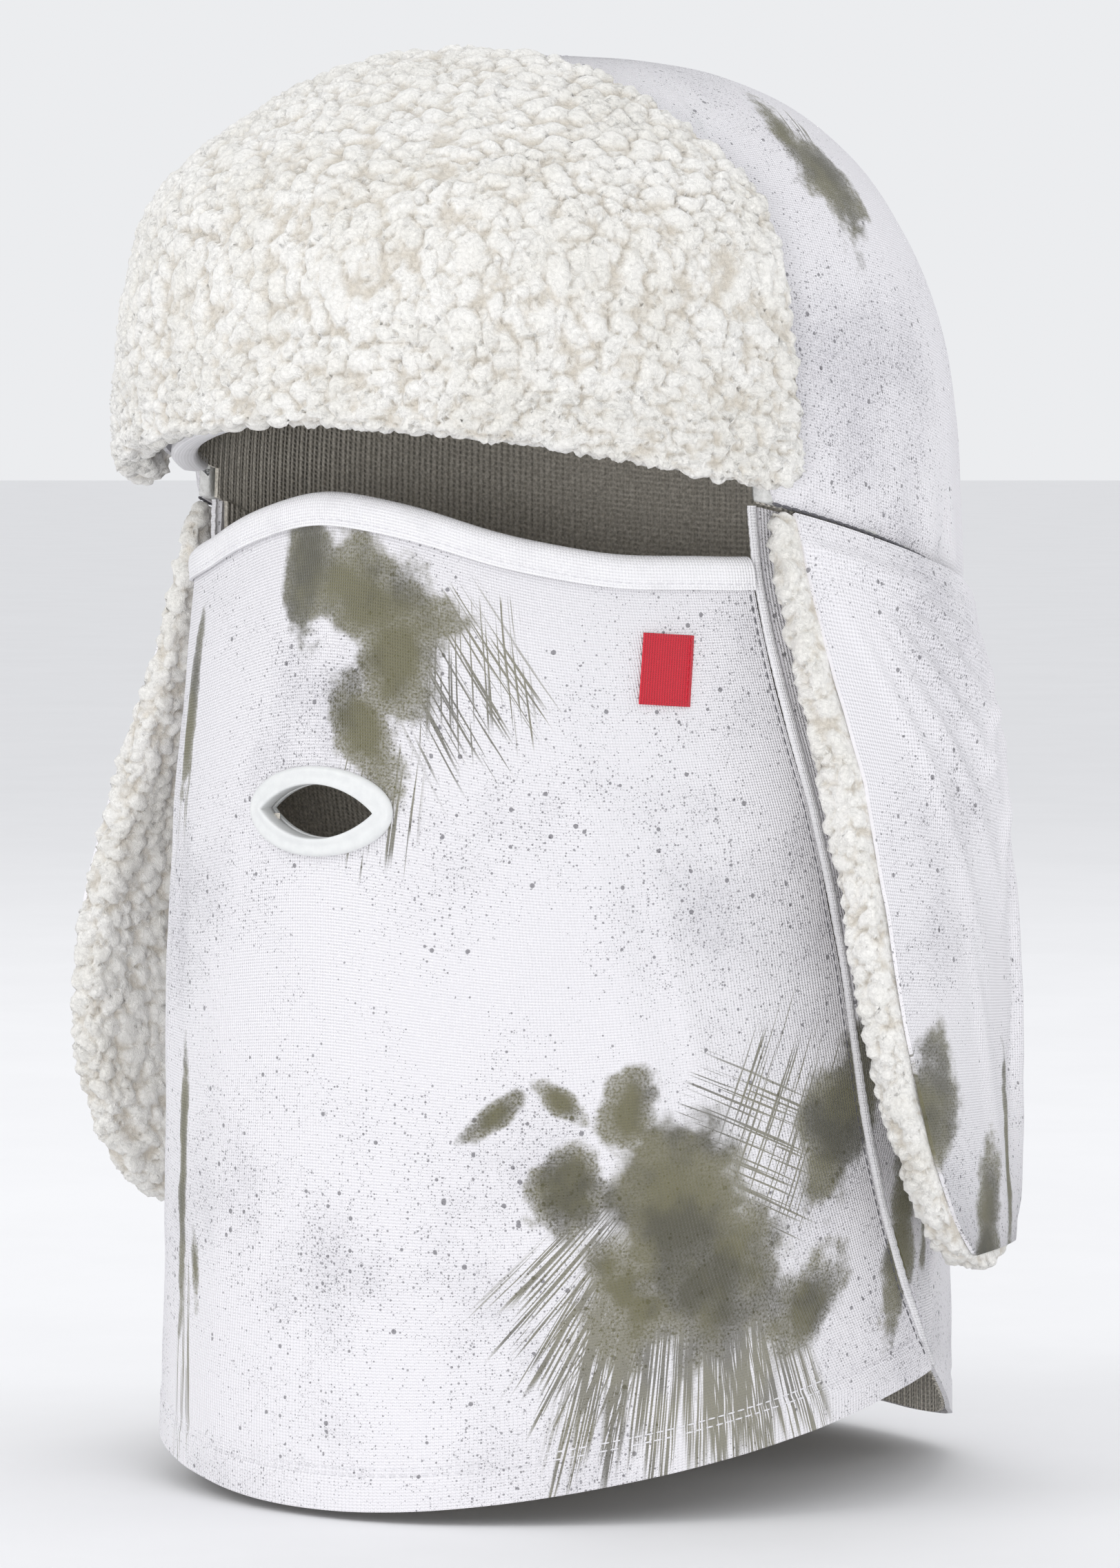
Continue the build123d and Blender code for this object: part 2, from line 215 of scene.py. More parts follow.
def bump(tree, height, depth_mm, normal=None):
    feeds = {"Height": height, "Strength": 1.0, "Distance": depth_mm * MM}
    if normal is not None:
        feeds["Normal"] = normal
    return add_node(tree, "ShaderNodeBump", feeds).outputs["Normal"]


# %% [markdown]
# ## Groups: spray, brush and knit
# The snow print looks like paint: fine dark specks as from a spray can, olive patches with
# dry edges, and single brush hairs that run out of them. One group makes the specks, one a
# patch, and one the hairs. The patch and the hairs take a place, a turn and a size, so the
# same groups draw every mark on the hat.

# %% Spray specks
spray, g_in, g_out = new_group("spray_specks", [("Vector", "Vector", (0, 0, 0)), ("Grain", "Float", 900.0),
                                                ("Amount", "Float", 0.3)], [("Mask", "Float")])
cells = add_node(spray, "ShaderNodeTexVoronoi", {"Vector": g_in.outputs["Vector"], "Scale": g_in.outputs["Grain"]},
                 voronoi_dimensions="3D", feature="F1")
cell_value = add_node(spray, "ShaderNodeSeparateColor", {"Color": cells.outputs["Color"]})
chosen = sums(spray, "LESS_THAN", cell_value.outputs[0], g_in.outputs["Amount"])
dot_size = sums(spray, "MULTIPLY_ADD", cell_value.outputs[1], 0.30)
dot_size.node.inputs[2].default_value = 0.14
inside = ramp(spray, sums(spray, "SUBTRACT", dot_size, cells.outputs["Distance"]), -0.04, 0.08)
spray.links.new(sums(spray, "MULTIPLY", chosen, inside), g_out.inputs["Mask"])

# %% Painted patch
patch, g_in, g_out = new_group("painted_patch", [("Vector", "Vector", (0, 0, 0)), ("Centre", "Vector", (0, 0, 0)),
                                                 ("Turn", "Float", 0.0), ("Size", "Vector", (1, 1, 1)),
                                                 ("Raggedness", "Float", 0.5), ("Dryness", "Float", 0.5)],
                               [("Mask", "Float")])
local = add_node(patch, "ShaderNodeVectorMath", {0: g_in.outputs["Vector"], 1: g_in.outputs["Centre"]},
                 operation="SUBTRACT").outputs[0]
local = add_node(patch, "ShaderNodeVectorRotate", {"Vector": local, "Angle": g_in.outputs["Turn"]},
                 rotation_type="Z_AXIS").outputs[0]
local = add_node(patch, "ShaderNodeVectorMath", {0: local, 1: g_in.outputs["Size"]}, operation="DIVIDE").outputs[0]
reach = add_node(patch, "ShaderNodeVectorMath", {0: local}, operation="LENGTH").outputs["Value"]
ragged = add_node(patch, "ShaderNodeTexNoise", {"Vector": g_in.outputs["Vector"], "Scale": 70.0, "Detail": 5.0,
                                                "Roughness": 0.62}).outputs["Fac"]
ragged = sums(patch, "MULTIPLY", sums(patch, "SUBTRACT", ragged, 0.5), g_in.outputs["Raggedness"])
edge = sums(patch, "ADD", reach, sums(patch, "MULTIPLY", ragged, 4.0))
body = ramp(patch, edge, 1.08, 0.72)
grain = add_node(patch, "ShaderNodeTexNoise", {"Vector": g_in.outputs["Vector"], "Scale": 1500.0, "Detail": 2.0}).outputs["Fac"]
dry = sums(patch, "MULTIPLY", ramp(patch, grain, 0.30, 0.62), g_in.outputs["Dryness"])
dry = sums(patch, "SUBTRACT", 1.0, sums(patch, "MULTIPLY", dry, ramp(patch, edge, 0.2, 1.0)))
patch.links.new(sums(patch, "MULTIPLY", body, dry), g_out.inputs["Mask"])

# %% Brush hairs
hairs, g_in, g_out = new_group("brush_hairs", [("Vector", "Vector", (0, 0, 0)), ("Centre", "Vector", (0, 0, 0)),
                                               ("Turn", "Float", 0.0), ("Size", "Vector", (1, 1, 1)),
                                               ("Spread", "Float", 0.0), ("Fineness", "Float", 900.0),
                                               ("Amount", "Float", 0.4)], [("Mask", "Float")])
local = add_node(hairs, "ShaderNodeVectorMath", {0: g_in.outputs["Vector"], 1: g_in.outputs["Centre"]},
                 operation="SUBTRACT").outputs[0]
local = add_node(hairs, "ShaderNodeVectorRotate", {"Vector": local, "Angle": g_in.outputs["Turn"]},
                 rotation_type="Z_AXIS").outputs[0]
along = add_node(hairs, "ShaderNodeSeparateXYZ", {"Vector": local})
scaled = add_node(hairs, "ShaderNodeVectorMath", {0: local, 1: g_in.outputs["Size"]}, operation="DIVIDE").outputs[0]
share = add_node(hairs, "ShaderNodeSeparateXYZ", {"Vector": scaled})
fan = sums(hairs, "MULTIPLY_ADD", share.outputs["Y"], g_in.outputs["Spread"])
fan.node.inputs[2].default_value = 1.0
across = sums(hairs, "DIVIDE", along.outputs["X"], fan)
strand_at = add_node(hairs, "ShaderNodeCombineXYZ", {"X": sums(hairs, "MULTIPLY", across, g_in.outputs["Fineness"]),
                                                     "Y": sums(hairs, "MULTIPLY", along.outputs["Y"], 22.0)})
strands = add_node(hairs, "ShaderNodeTexNoise", {"Vector": strand_at.outputs[0], "Scale": 1.0, "Detail": 1.5},
                   noise_dimensions="2D").outputs["Fac"]
thread = ramp(hairs, strands, sums(hairs, "SUBTRACT", 0.86, sums(hairs, "MULTIPLY", g_in.outputs["Amount"], 0.6)),
              sums(hairs, "SUBTRACT", 0.93, sums(hairs, "MULTIPLY", g_in.outputs["Amount"], 0.6)))
half_across = sums(hairs, "ABSOLUTE", sums(hairs, "DIVIDE", share.outputs["X"], fan))
length_share = add_node(hairs, "ShaderNodeTexNoise", {"W": sums(hairs, "MULTIPLY", across, 420.0), "Scale": 1.0,
                                                      "Detail": 1.0}, noise_dimensions="1D").outputs["Fac"]
far_end = ramp(hairs, sums(hairs, "SUBTRACT", share.outputs["Y"], sums(hairs, "MULTIPLY", length_share, 1.3)),
               0.32, 0.12)
near_end = ramp(hairs, share.outputs["Y"], -0.06, 0.04)
sides = ramp(hairs, half_across, 1.0, 0.8)
hair_mask = sums(hairs, "MULTIPLY", sums(hairs, "MULTIPLY", thread, far_end), sums(hairs, "MULTIPLY", near_end, sides))
hairs.links.new(hair_mask, g_out.inputs["Mask"])

# %% Knit
knit, g_in, g_out = new_group("fine_knit", [("Vector", "Vector", (0, 0, 0)), ("Across", "Float", 900.0),
                                            ("Along", "Float", 1200.0)], [("Height", "Float")])
spot = add_node(knit, "ShaderNodeSeparateXYZ", {"Vector": g_in.outputs["Vector"]})
wave_across = sums(knit, "SINE", sums(knit, "MULTIPLY", spot.outputs["X"],
                                      sums(knit, "MULTIPLY", g_in.outputs["Across"], 2 * math.pi)))
wave_along = sums(knit, "SINE", sums(knit, "MULTIPLY", spot.outputs["Y"],
                                     sums(knit, "MULTIPLY", g_in.outputs["Along"], 2 * math.pi)))
fuzz = add_node(knit, "ShaderNodeTexNoise", {"Vector": g_in.outputs["Vector"], "Scale": 1900.0, "Detail": 2.0}).outputs["Fac"]
knit.links.new(sums(knit, "ADD", sums(knit, "MULTIPLY", wave_across, sums(knit, "ADD", wave_along, 1.6)), fuzz),
               g_out.inputs["Height"])

# %% [markdown]
# ## The snow print
# The print is the same on the mask, the neck and the flaps. It reads a chart of the hat as
# if it were unrolled: the distance round the head, and the height. Over the crown the
# unrolled chart would pinch at the top, so there the print reads a chart from above.
# White cloth comes first, then cloudy lilac shade, specks, and olive patches on top.

# %% Unrolled chart
unroll, g_in, g_out = new_group("unrolled_chart", [("Vector", "Vector", (0, 0, 0))], [("Chart", "Vector")])
spot = add_node(unroll, "ShaderNodeSeparateXYZ", {"Vector": g_in.outputs["Vector"]})
turn = sums(unroll, "ARCTAN2", spot.outputs["X"], sums(unroll, "MULTIPLY", spot.outputs["Y"], -1.0))
chart = add_node(unroll, "ShaderNodeCombineXYZ", {"X": sums(unroll, "MULTIPLY", turn, 0.1), "Y": spot.outputs["Z"]})
unroll.links.new(chart.outputs[0], g_out.inputs["Chart"])


def chart_place(degrees, level):
    """A spot on the unrolled chart: degrees round from the face towards the left ear."""
    return (math.radians(degrees) * 0.1, level * MM, 0)


def size_of(across, along):
    return (across * MM, along * MM, 1.0)


# Each patch: place, turn in degrees, size in mm, raggedness, dryness.
tube_patches = [
    (chart_place(50, -186), 10, (20, 25), 0.30, 0.12),
    (chart_place(56, -204), 30, (18, 24), 0.40, 0.35),
    (chart_place(70, -212), 50, (11, 19), 0.50, 0.55),
    (chart_place(35, -182), 10, (10, 13), 0.5, 0.5),
    (chart_place(43, -206), -15, (11, 20), 0.5, 0.5),
    (chart_place(43, -162), 15, (8, 11), 0.5, 0.4),
    (chart_place(25, -164), 50, (3.5, 9), 0.5, 0.4),
    (chart_place(34, -160), -50, (3.5, 8), 0.5, 0.5),
    (chart_place(78, -168), 30, (15, 25), 0.42, 0.25),
    (chart_place(93, -200), 15, (8, 26), 0.5, 0.35),
    (chart_place(7, -40), -65, (13, 27), 0.45, 0.3),
    (chart_place(-3, -36), 0, (9, 17), 0.5, 0.2),
    (chart_place(11, -55), 15, (12, 20), 0.45, 0.4),
    (chart_place(7, -71), -20, (9, 19), 0.5, 0.5),
    (chart_place(-33, -70), 8, (4.4, 26), 0.45, 0.4),
    (chart_place(-30, -185), 2, (3.4, 36), 0.4, 0.3),
    (chart_place(-25, -206), -10, (3, 10), 0.5, 0.7),
    (chart_place(104, -182), 12, (4, 32), 0.5, 0.3),
    (chart_place(-62, -150), 5, (10, 50), 0.55, 0.4),
    (chart_place(-74, -208), -8, (9, 32), 0.55, 0.5),
    (chart_place(150, -120), 20, (15, 34), 0.5, 0.4),
    (chart_place(162, -205), -30, (16, 26), 0.5, 0.4),
    (chart_place(-140, -190), 35, (18, 32), 0.5, 0.4),
    (chart_place(-120, -110), -10, (11, 30), 0.5, 0.5),
]
# Each tuft of hairs: where it starts, turn, size, spread, fineness, amount.
tube_hairs = [
    (chart_place(51, -196), 176, (23, 58), 0.5, 2300, 0.72),
    (chart_place(60, -206), 192, (15, 44), 0.5, 2300, 0.66),
    (chart_place(44, -186), 142, (12, 42), 0.4, 2100, 0.6),
    (chart_place(42, -204), 156, (11, 36), 0.4, 2100, 0.6),
    (chart_place(62, -186), -24, (19, 46), 0.05, 1500, 0.5),
    (chart_place(50, -164), -112, (19, 44), 0.05, 1500, 0.5),
    (chart_place(14, -44), -148, (17, 42), 0.15, 1600, 0.5),
    (chart_place(21, -42), -176, (14, 34), 0.2, 1600, 0.46),
    (chart_place(10, -76), 172, (11, 30), 0.2, 1200, 0.5),
    (chart_place(-29, -205), 178, (4, 50), 0.5, 1800, 0.55),
    (chart_place(-33, -60), 175, (4, 48), 0.4, 1800, 0.45),
    (chart_place(152, -130), 175, (12, 50), 0.4, 1400, 0.55),
    (chart_place(-138, -200), 170, (15, 40), 0.4, 1400, 0.55),
]
crown_patches = [
    ((72 * MM, 6 * MM, 0), -30, (9, 14), 0.55, 0.3),
    ((62 * MM, 2 * MM, 0), -60, (5, 14), 0.55, 0.6),
    ((-70 * MM, 30 * MM, 0), 30, (10, 26), 0.6, 0.5),
    ((-30 * MM, 85 * MM, 0), 70, (10, 20), 0.6, 0.5),
    ((45 * MM, 80 * MM, 0), -40, (9, 18), 0.6, 0.6),
]
crown_hairs = [
    ((70 * MM, 2 * MM, 0), 60, (7, 20), 0.2, 1400, 0.5),
]

# %% Snow print material
COTTON = (0.86, 0.845, 0.875, 1)
SHADE = (0.40, 0.39, 0.435, 1)
SPECK = (0.075, 0.07, 0.085, 1)
OLIVE = (0.135, 0.125, 0.052, 1)
OLIVE_DARK = (0.060, 0.056, 0.024, 1)


def snow_print(name, unrolled, patches, tufts):
    """The printed cloth, with its specks and its olive marks."""
    material, tree, shader = new_material(name, COTTON[:3], 0.82, Sheen_Weight=0.25, Sheen_Roughness=0.5,
                                          Specular_IOR_Level=0.25)
    place = add_node(tree, "ShaderNodeTexCoord").outputs["Object"]
    chart_at = use_group(tree, unroll, {"Vector": place}).outputs[0] if unrolled else place
    clouds = add_node(tree, "ShaderNodeTexNoise", {"Vector": place, "Scale": 17.0, "Detail": 3.0,
                                                   "Roughness": 0.6}).outputs["Fac"]
    cloudy = ramp(tree, clouds, 0.46, 0.74)
    fine = add_node(tree, "ShaderNodeTexNoise", {"Vector": place, "Scale": 700.0, "Detail": 3.0}).outputs["Fac"]
    colour = mix_colour(tree, sums(tree, "MULTIPLY", cloudy, sums(tree, "MULTIPLY", fine, 0.62)), COTTON, SHADE)
    for grain, most, strength in ((620.0, 0.12, 0.7), (1250.0, 0.50, 0.62), (2100.0, 0.85, 0.5)):
        amount = sums(tree, "MULTIPLY", ramp(tree, clouds, 0.34, 0.66), most)
        specks = use_group(tree, spray, {"Vector": place, "Grain": grain, "Amount": amount}).outputs[0]
        colour = mix_colour(tree, sums(tree, "MULTIPLY", specks, strength), colour, SPECK)
    marks = None
    for spot, degrees, size, ragged_by, dry_by in patches:
        mask = use_group(tree, patch, {"Vector": chart_at, "Centre": spot, "Turn": math.radians(degrees),
                                       "Size": size_of(*size), "Raggedness": ragged_by,
                                       "Dryness": dry_by}).outputs[0]
        marks = mask if marks is None else sums(tree, "MAXIMUM", marks, mask)
    for spot, degrees, size, spread, fineness, amount in tufts:
        mask = use_group(tree, hairs, {"Vector": chart_at, "Centre": spot, "Turn": -math.radians(degrees),
                                       "Size": size_of(*size), "Spread": spread, "Fineness": fineness,
                                       "Amount": amount}).outputs[0]
        marks = sums(tree, "MAXIMUM", marks, sums(tree, "MULTIPLY", mask, 0.85))
    depth = add_node(tree, "ShaderNodeTexNoise", {"Vector": place, "Scale": 55.0, "Detail": 4.0}).outputs["Fac"]
    olive = mix_colour(tree, ramp(tree, depth, 0.42, 0.66), OLIVE, OLIVE_DARK)
    colour = mix_colour(tree, sums(tree, "MULTIPLY", marks, 0.93), colour, olive)
    tree.links.new(colour, shader.inputs["Base Color"])
    cloth_at = add_node(tree, "ShaderNodeUVMap", uv_map="UVMap").outputs[0]
    stitches = use_group(tree, knit, {"Vector": cloth_at, "Across": 1100.0, "Along": 1400.0}).outputs[0]
    tree.links.new(bump(tree, stitches, 0.07), shader.inputs["Normal"])
    return material


snow_cloth = snow_print("snow_print", True, tube_patches, tube_hairs)
snow_crown = snow_print("snow_print_crown", False, crown_patches, crown_hairs)
print("snow print nodes:", len(snow_cloth.node_tree.nodes), len(snow_crown.node_tree.nodes))

# %% [markdown]
# ## Pile, lining, binding and the small finishes
# The pile's curls are real geometry, so its material only adds the finer fibres and a painted
# shade: a darker warm beige deep between the curls, where a point attribute of curl height
# marks the creases. The rib lining, the white binding and the label each get their own weave.

# %% Curly pile
def pile_material(name):
    material, tree, shader = new_material(name, (0.86, 0.84, 0.80), 0.95, Sheen_Weight=0.35,
                                          Sheen_Roughness=0.6, Specular_IOR_Level=0.15)
    place = add_node(tree, "ShaderNodeTexCoord").outputs["Object"]
    depth = add_node(tree, "ShaderNodeAttribute", attribute_name="pile_shade_depth").outputs["Fac"]
    strands = add_node(tree, "ShaderNodeTexNoise", {"Vector": place, "Scale": 900.0, "Detail": 4.0,
                                                    "Roughness": 0.7, "Distortion": 1.2}).outputs["Fac"]
    # Painted shade: low in the creases between curls the colour turns a darker warm beige, from the curl height.
    deep = ramp(tree, sums(tree, "ADD", depth, sums(tree, "MULTIPLY", sums(tree, "SUBTRACT", strands, 0.5), 0.35)),
                0.05, 0.62)
    tuft = add_node(tree, "ShaderNodeTexNoise", {"Vector": place, "Scale": 60.0, "Detail": 2.0}).outputs["Fac"]
    tip = mix_colour(tree, ramp(tree, tuft, 0.35, 0.7), (0.90, 0.885, 0.85, 1), (0.84, 0.82, 0.77, 1))
    tree.links.new(mix_colour(tree, deep, (0.68, 0.63, 0.55, 1), tip), shader.inputs["Base Color"])
    tree.links.new(bump(tree, strands, 0.55), shader.inputs["Normal"])
    return material


sherpa = pile_material("sherpa_pile")

# %% Ribbed lining
rib, tree, shader = new_material("rib_lining", (0.52, 0.50, 0.455), 0.9, Sheen_Weight=0.2,
                                 Specular_IOR_Level=0.2)
cloth_at = add_node(tree, "ShaderNodeUVMap", uv_map="UVMap").outputs[0]
rib_height = use_group(tree, knit, {"Vector": cloth_at, "Across": 620.0, "Along": 900.0}).outputs[0]
place = add_node(tree, "ShaderNodeTexCoord").outputs["Object"]
mottle = add_node(tree, "ShaderNodeTexNoise", {"Vector": place, "Scale": 1300.0, "Detail": 3.0,
                                               "Roughness": 0.7}).outputs["Fac"]
grey = mix_colour(tree, ramp(tree, mottle, 0.3, 0.72), (0.50, 0.47, 0.41, 1), (0.88, 0.83, 0.74, 1))
tree.links.new(grey, shader.inputs["Base Color"])
tree.links.new(bump(tree, rib_height, 0.12), shader.inputs["Normal"])

# %% White knitted tape
tape, tree, shader = new_material("white_tape", (0.88, 0.87, 0.89), 0.75, Sheen_Weight=0.2,
                                  Specular_IOR_Level=0.3)
cloth_at = add_node(tree, "ShaderNodeUVMap", uv_map="UVMap").outputs[0]
tape_height = use_group(tree, knit, {"Vector": cloth_at, "Across": 1300.0, "Along": 1300.0}).outputs[0]
place = add_node(tree, "ShaderNodeTexCoord").outputs["Object"]
soil = add_node(tree, "ShaderNodeTexNoise", {"Vector": place, "Scale": 90.0, "Detail": 4.0}).outputs["Fac"]
white = mix_colour(tree, ramp(tree, soil, 0.45, 0.8), (0.90, 0.89, 0.91, 1), (0.80, 0.79, 0.81, 1))
tree.links.new(white, shader.inputs["Base Color"])
tree.links.new(bump(tree, tape_height, 0.06), shader.inputs["Normal"])


# %% Threads, ring, label and hidden finishes
def grained(name, light, dark, grain, depth_mm, roughness, **principled):
    """A finish with a fine colour grain, an uneven gloss and a shallow bump from the same noise."""
    material, tree, shader = new_material(name, light, roughness, **principled)
    place = add_node(tree, "ShaderNodeTexCoord").outputs["Object"]
    speck = add_node(tree, "ShaderNodeTexNoise", {"Vector": place, "Scale": grain, "Detail": 4.0,
                                                  "Roughness": 0.65}).outputs["Fac"]
    tree.links.new(mix_colour(tree, ramp(tree, speck, 0.3, 0.7), (*dark, 1), (*light, 1)), shader.inputs["Base Color"])
    tree.links.new(ramp(tree, speck, 0.2, 0.8, roughness - 0.08, min(1.0, roughness + 0.08)),
                   shader.inputs["Roughness"])
    tree.links.new(bump(tree, speck, depth_mm), shader.inputs["Normal"])
    return material


white_thread = grained("white_thread", (0.86, 0.85, 0.87), (0.66, 0.65, 0.68), 2600.0, 0.08, 0.7)
grey_thread = grained("grey_thread", (0.16, 0.155, 0.17), (0.07, 0.07, 0.08), 2600.0, 0.08, 0.75)
ring_plastic = grained("ring_plastic", (0.74, 0.75, 0.745), (0.69, 0.70, 0.70), 420.0, 0.02, 0.42,
                       Coat_Weight=0.12, Coat_Roughness=0.35)
wadding = grained("wadding", (0.82, 0.82, 0.80), (0.62, 0.62, 0.60), 500.0, 0.6, 0.95)
hooks = grained("hook_tape", (0.72, 0.72, 0.72), (0.45, 0.45, 0.46), 1400.0, 0.35, 0.8)
backdrop = grained("backdrop", (0.86, 0.86, 0.87), (0.84, 0.84, 0.85), 9.0, 0.02, 0.9)
floor.data.materials.append(backdrop)

label_red, tree, shader = new_material("label_red", (0.62, 0.01, 0.03), 0.6, Sheen_Weight=0.15)
cloth_at = add_node(tree, "ShaderNodeUVMap", uv_map="UVMap").outputs[0]
twill = use_group(tree, knit, {"Vector": cloth_at, "Across": 1500.0, "Along": 1900.0}).outputs[0]
tree.links.new(mix_colour(tree, ramp(tree, twill, -1.5, 3.0), (0.40, 0.004, 0.018, 1), (0.72, 0.012, 0.035, 1)),
               shader.inputs["Base Color"])
tree.links.new(bump(tree, twill, 0.05), shader.inputs["Normal"])

# %% [markdown]
# ## The forms that the cloth follows
# The hat stands on three plain forms: a tube round the neck, a dome over the head, and the
# flared ear flaps. The tube and the dome are given by a few sizes. The ear flaps are freer,
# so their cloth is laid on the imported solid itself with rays, as a cloth is laid on a form.

# %% Sizes of the forms, in mm
NECK_LEVELS = (-5, -40, -92, -160, -270)
NECK_HALF_WIDTHS = (87.5, 89, 93, 94.5, 96.5)
NECK_HALF_DEPTHS = (98.5, 100, 102.5, 103, 104)
NECK_SHIFTS = (0, 0, -2.5, -4, -4)
CROWN_HALF_WIDTH = 94
CROWN_HALF_DEPTH = 108
CROWN_TOP = 91
CROWN_SPRING = -30
CROWN_ROUNDNESS = 2.5
FACE_SIDE = -41
SHELL_THICK = 1.2
LINING_THICK = 1.3
LINING_OUTER = -1.5
CROWN_LINING_OUTER = -5.4
TRIM_WIDTH = 3.2


# %% Neck tube and dome
def neck_sizes(level):
    """Half-width, half-depth and middle of the neck tube at each level."""
    down = [-x for x in NECK_LEVELS]
    return [np.interp(-level, down, values) for values in (NECK_HALF_WIDTHS, NECK_HALF_DEPTHS, NECK_SHIFTS)]


def neck_point(turn, level, out=0.0):
    """A point on the neck tube. turn is 0 at the left ear and -90 degrees at the face."""
    half_width, half_depth, shift = neck_sizes(level)
    return np.stack([(half_width + out) * np.cos(turn), (half_depth + out) * np.sin(turn) + shift, level], -1)


def neck_turn(y, level):
    """The turn at which the tube's left side reaches y."""
    half_width, half_depth, shift = neck_sizes(level)
    return np.arcsin(np.clip((y - shift) / half_depth, -1, 1))


def dome_profile(out=0.0, top_out=0.0, roundness=CROWN_ROUNDNESS):
    """Evenly spaced heights and shares of the plan, from the spring line up to the top."""
    lift = np.linspace(0, math.pi / 2, 900)
    power = 2 / roundness
    share = np.cos(lift) ** power
    level = CROWN_SPRING + (CROWN_TOP - CROWN_SPRING + top_out) * np.sin(lift) ** power
    return level, share


DOME_LEVELS, DOME_SHARES = dome_profile()
dome_run = np.concatenate([[0], np.cumsum(np.hypot(np.diff(DOME_LEVELS), 100 * np.diff(DOME_SHARES)))])


def dome_point(turn, level_low, climb, out=0.0):
    """A point on the dome: climb goes from 0 at level_low to 1 at the very top, at an even pace."""
    side_drop = np.maximum(CROWN_SPRING - level_low, 0)
    start = np.interp(level_low, DOME_LEVELS, dome_run) - side_drop
    run = start + climb * (dome_run[-1] - start)
    level = np.where(run < 0, CROWN_SPRING + run, np.interp(run, dome_run, DOME_LEVELS))
    share = np.interp(run, dome_run, DOME_SHARES)
    flat = np.stack([CROWN_HALF_WIDTH * share * np.cos(turn), CROWN_HALF_DEPTH * share * np.sin(turn), level], -1)
    normal = np.stack([flat[..., 0] / CROWN_HALF_WIDTH, flat[..., 1] / CROWN_HALF_DEPTH,
                       np.maximum(level - CROWN_SPRING, 0) / 175], -1)
    normal = normal / np.linalg.norm(normal, axis=-1, keepdims=True).clip(1e-6)
    return flat + normal * np.asarray(out)[..., None]


# %% Edges of the pattern pieces
def smooth_line(at, through, values, slope_first=None, slope_last=None):
    """A smooth curve through the given values, with the slopes at its two ends if given."""
    x = np.array(through, float)
    y = np.array(values, float)
    gaps = np.diff(x)
    n = len(x)
    matrix = np.zeros((n, n))
    right = np.zeros(n)
    for i in range(1, n - 1):
        matrix[i, i - 1:i + 2] = gaps[i], 2 * (gaps[i - 1] + gaps[i]), gaps[i - 1]
        right[i] = 3 * (gaps[i] * (y[i] - y[i - 1]) / gaps[i - 1] + gaps[i - 1] * (y[i + 1] - y[i]) / gaps[i])
    for row, other, slope in ((0, 1, slope_first), (n - 1, n - 2, slope_last)):
        matrix[row, row] = 1 if slope is not None else 2
        matrix[row, other] = 0 if slope is not None else 1
        near = min(row, other)
        right[row] = slope if slope is not None else 3 * (y[near + 1] - y[near]) / gaps[near]
    slopes = np.linalg.solve(matrix, right)
    at = np.clip(at, x[0], x[-1])
    i = np.clip(np.searchsorted(x, at) - 1, 0, n - 2)
    gap = gaps[i]
    t = (at - x[i]) / gap
    return ((2 * t**3 - 3 * t**2 + 1) * y[i] + (t**3 - 2 * t**2 + t) * gap * slopes[i]
            + (3 * t**2 - 2 * t**3) * y[i + 1] + (t**3 - t**2) * gap * slopes[i + 1])


def mask_edge_y(level):
    """The mask's side edge: y at each level."""
    return smooth_line(level, (-233, -125, -19), (24, -20, -41), -0.952, 0.0)


def hem_level(y):
    """The mask's hem: level at each y, from the chin to its back corner."""
    return np.polyval(np.polyfit((-108, -69, 24), (-259, -249.5, -233), 2), y)


def back_hem_level(y):
    return np.polyval(np.polyfit((27.8, 60, 104), (-233, -249, -252), 2), y)


def bridge_level(x):
    """The top edge of the mask under the eyes: level at each x."""
    return smooth_line(x, (-100, -60, 0, 60, 100), (-31, -30, -16, -30, -31), 0.0, 0.0)


def seam_level(y):
    return -28 - math.tan(math.radians(13)) * y


def brow_level(x):
    """The brow edge: an arc that is highest in the middle of the face."""
    radius = (97**2 + 17.5**2) / (2 * 17.5)
    return 0.5 - radius + np.sqrt(radius**2 - np.clip(x, -97, 97) ** 2)


# %% [markdown]
# ## How a sheet of cloth is made
# A sheet starts as a grid primitive. Each of its points gets a place on a form from its two
# shares across and down the cloth, its UV map is scaled to the cloth's real size, and
# Solidify gives it its thickness inwards. Folds are added to the form before that, as
# ridges along a line, and a slow unevenness keeps any cloth from being a perfect surface.

# %% Sheet helpers
def select_only(piece):
    bpy.ops.object.select_all(action="DESELECT")
    piece.select_set(True)
    bpy.context.view_layer.objects.active = piece


def read_points(piece):
    points = np.zeros(len(piece.data.vertices) * 3, np.float32)
    piece.data.vertices.foreach_get("co", points)
    return points.reshape(-1, 3).astype(float)


def write_points(piece, points):
    piece.data.vertices.foreach_set("co", np.asarray(points, np.float32).ravel())
    piece.data.update()


def read_normals(piece):
    normals = np.zeros(len(piece.data.vertices) * 3, np.float32)
    piece.data.vertices.foreach_get("normal", normals)
    return normals.reshape(-1, 3).astype(float)


def finish(piece, body, material, replaced=()):
    """Gives a finished piece its finish and body, and hides the solids it stands for."""
    piece.data.materials.clear()
    piece.data.materials.append(material)
    select_only(piece)
    bpy.ops.object.shade_smooth_by_angle(angle=math.radians(55))
    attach(piece, body)
    if replaced:
        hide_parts(*replaced)
    return piece


def apply_modifier(piece, kind, **settings):
    select_only(piece)
    modifier = piece.modifiers.new(kind.title(), kind)
    for key, value in settings.items():
        setattr(modifier, key, value)
    bpy.ops.object.modifier_apply(modifier=modifier.name)


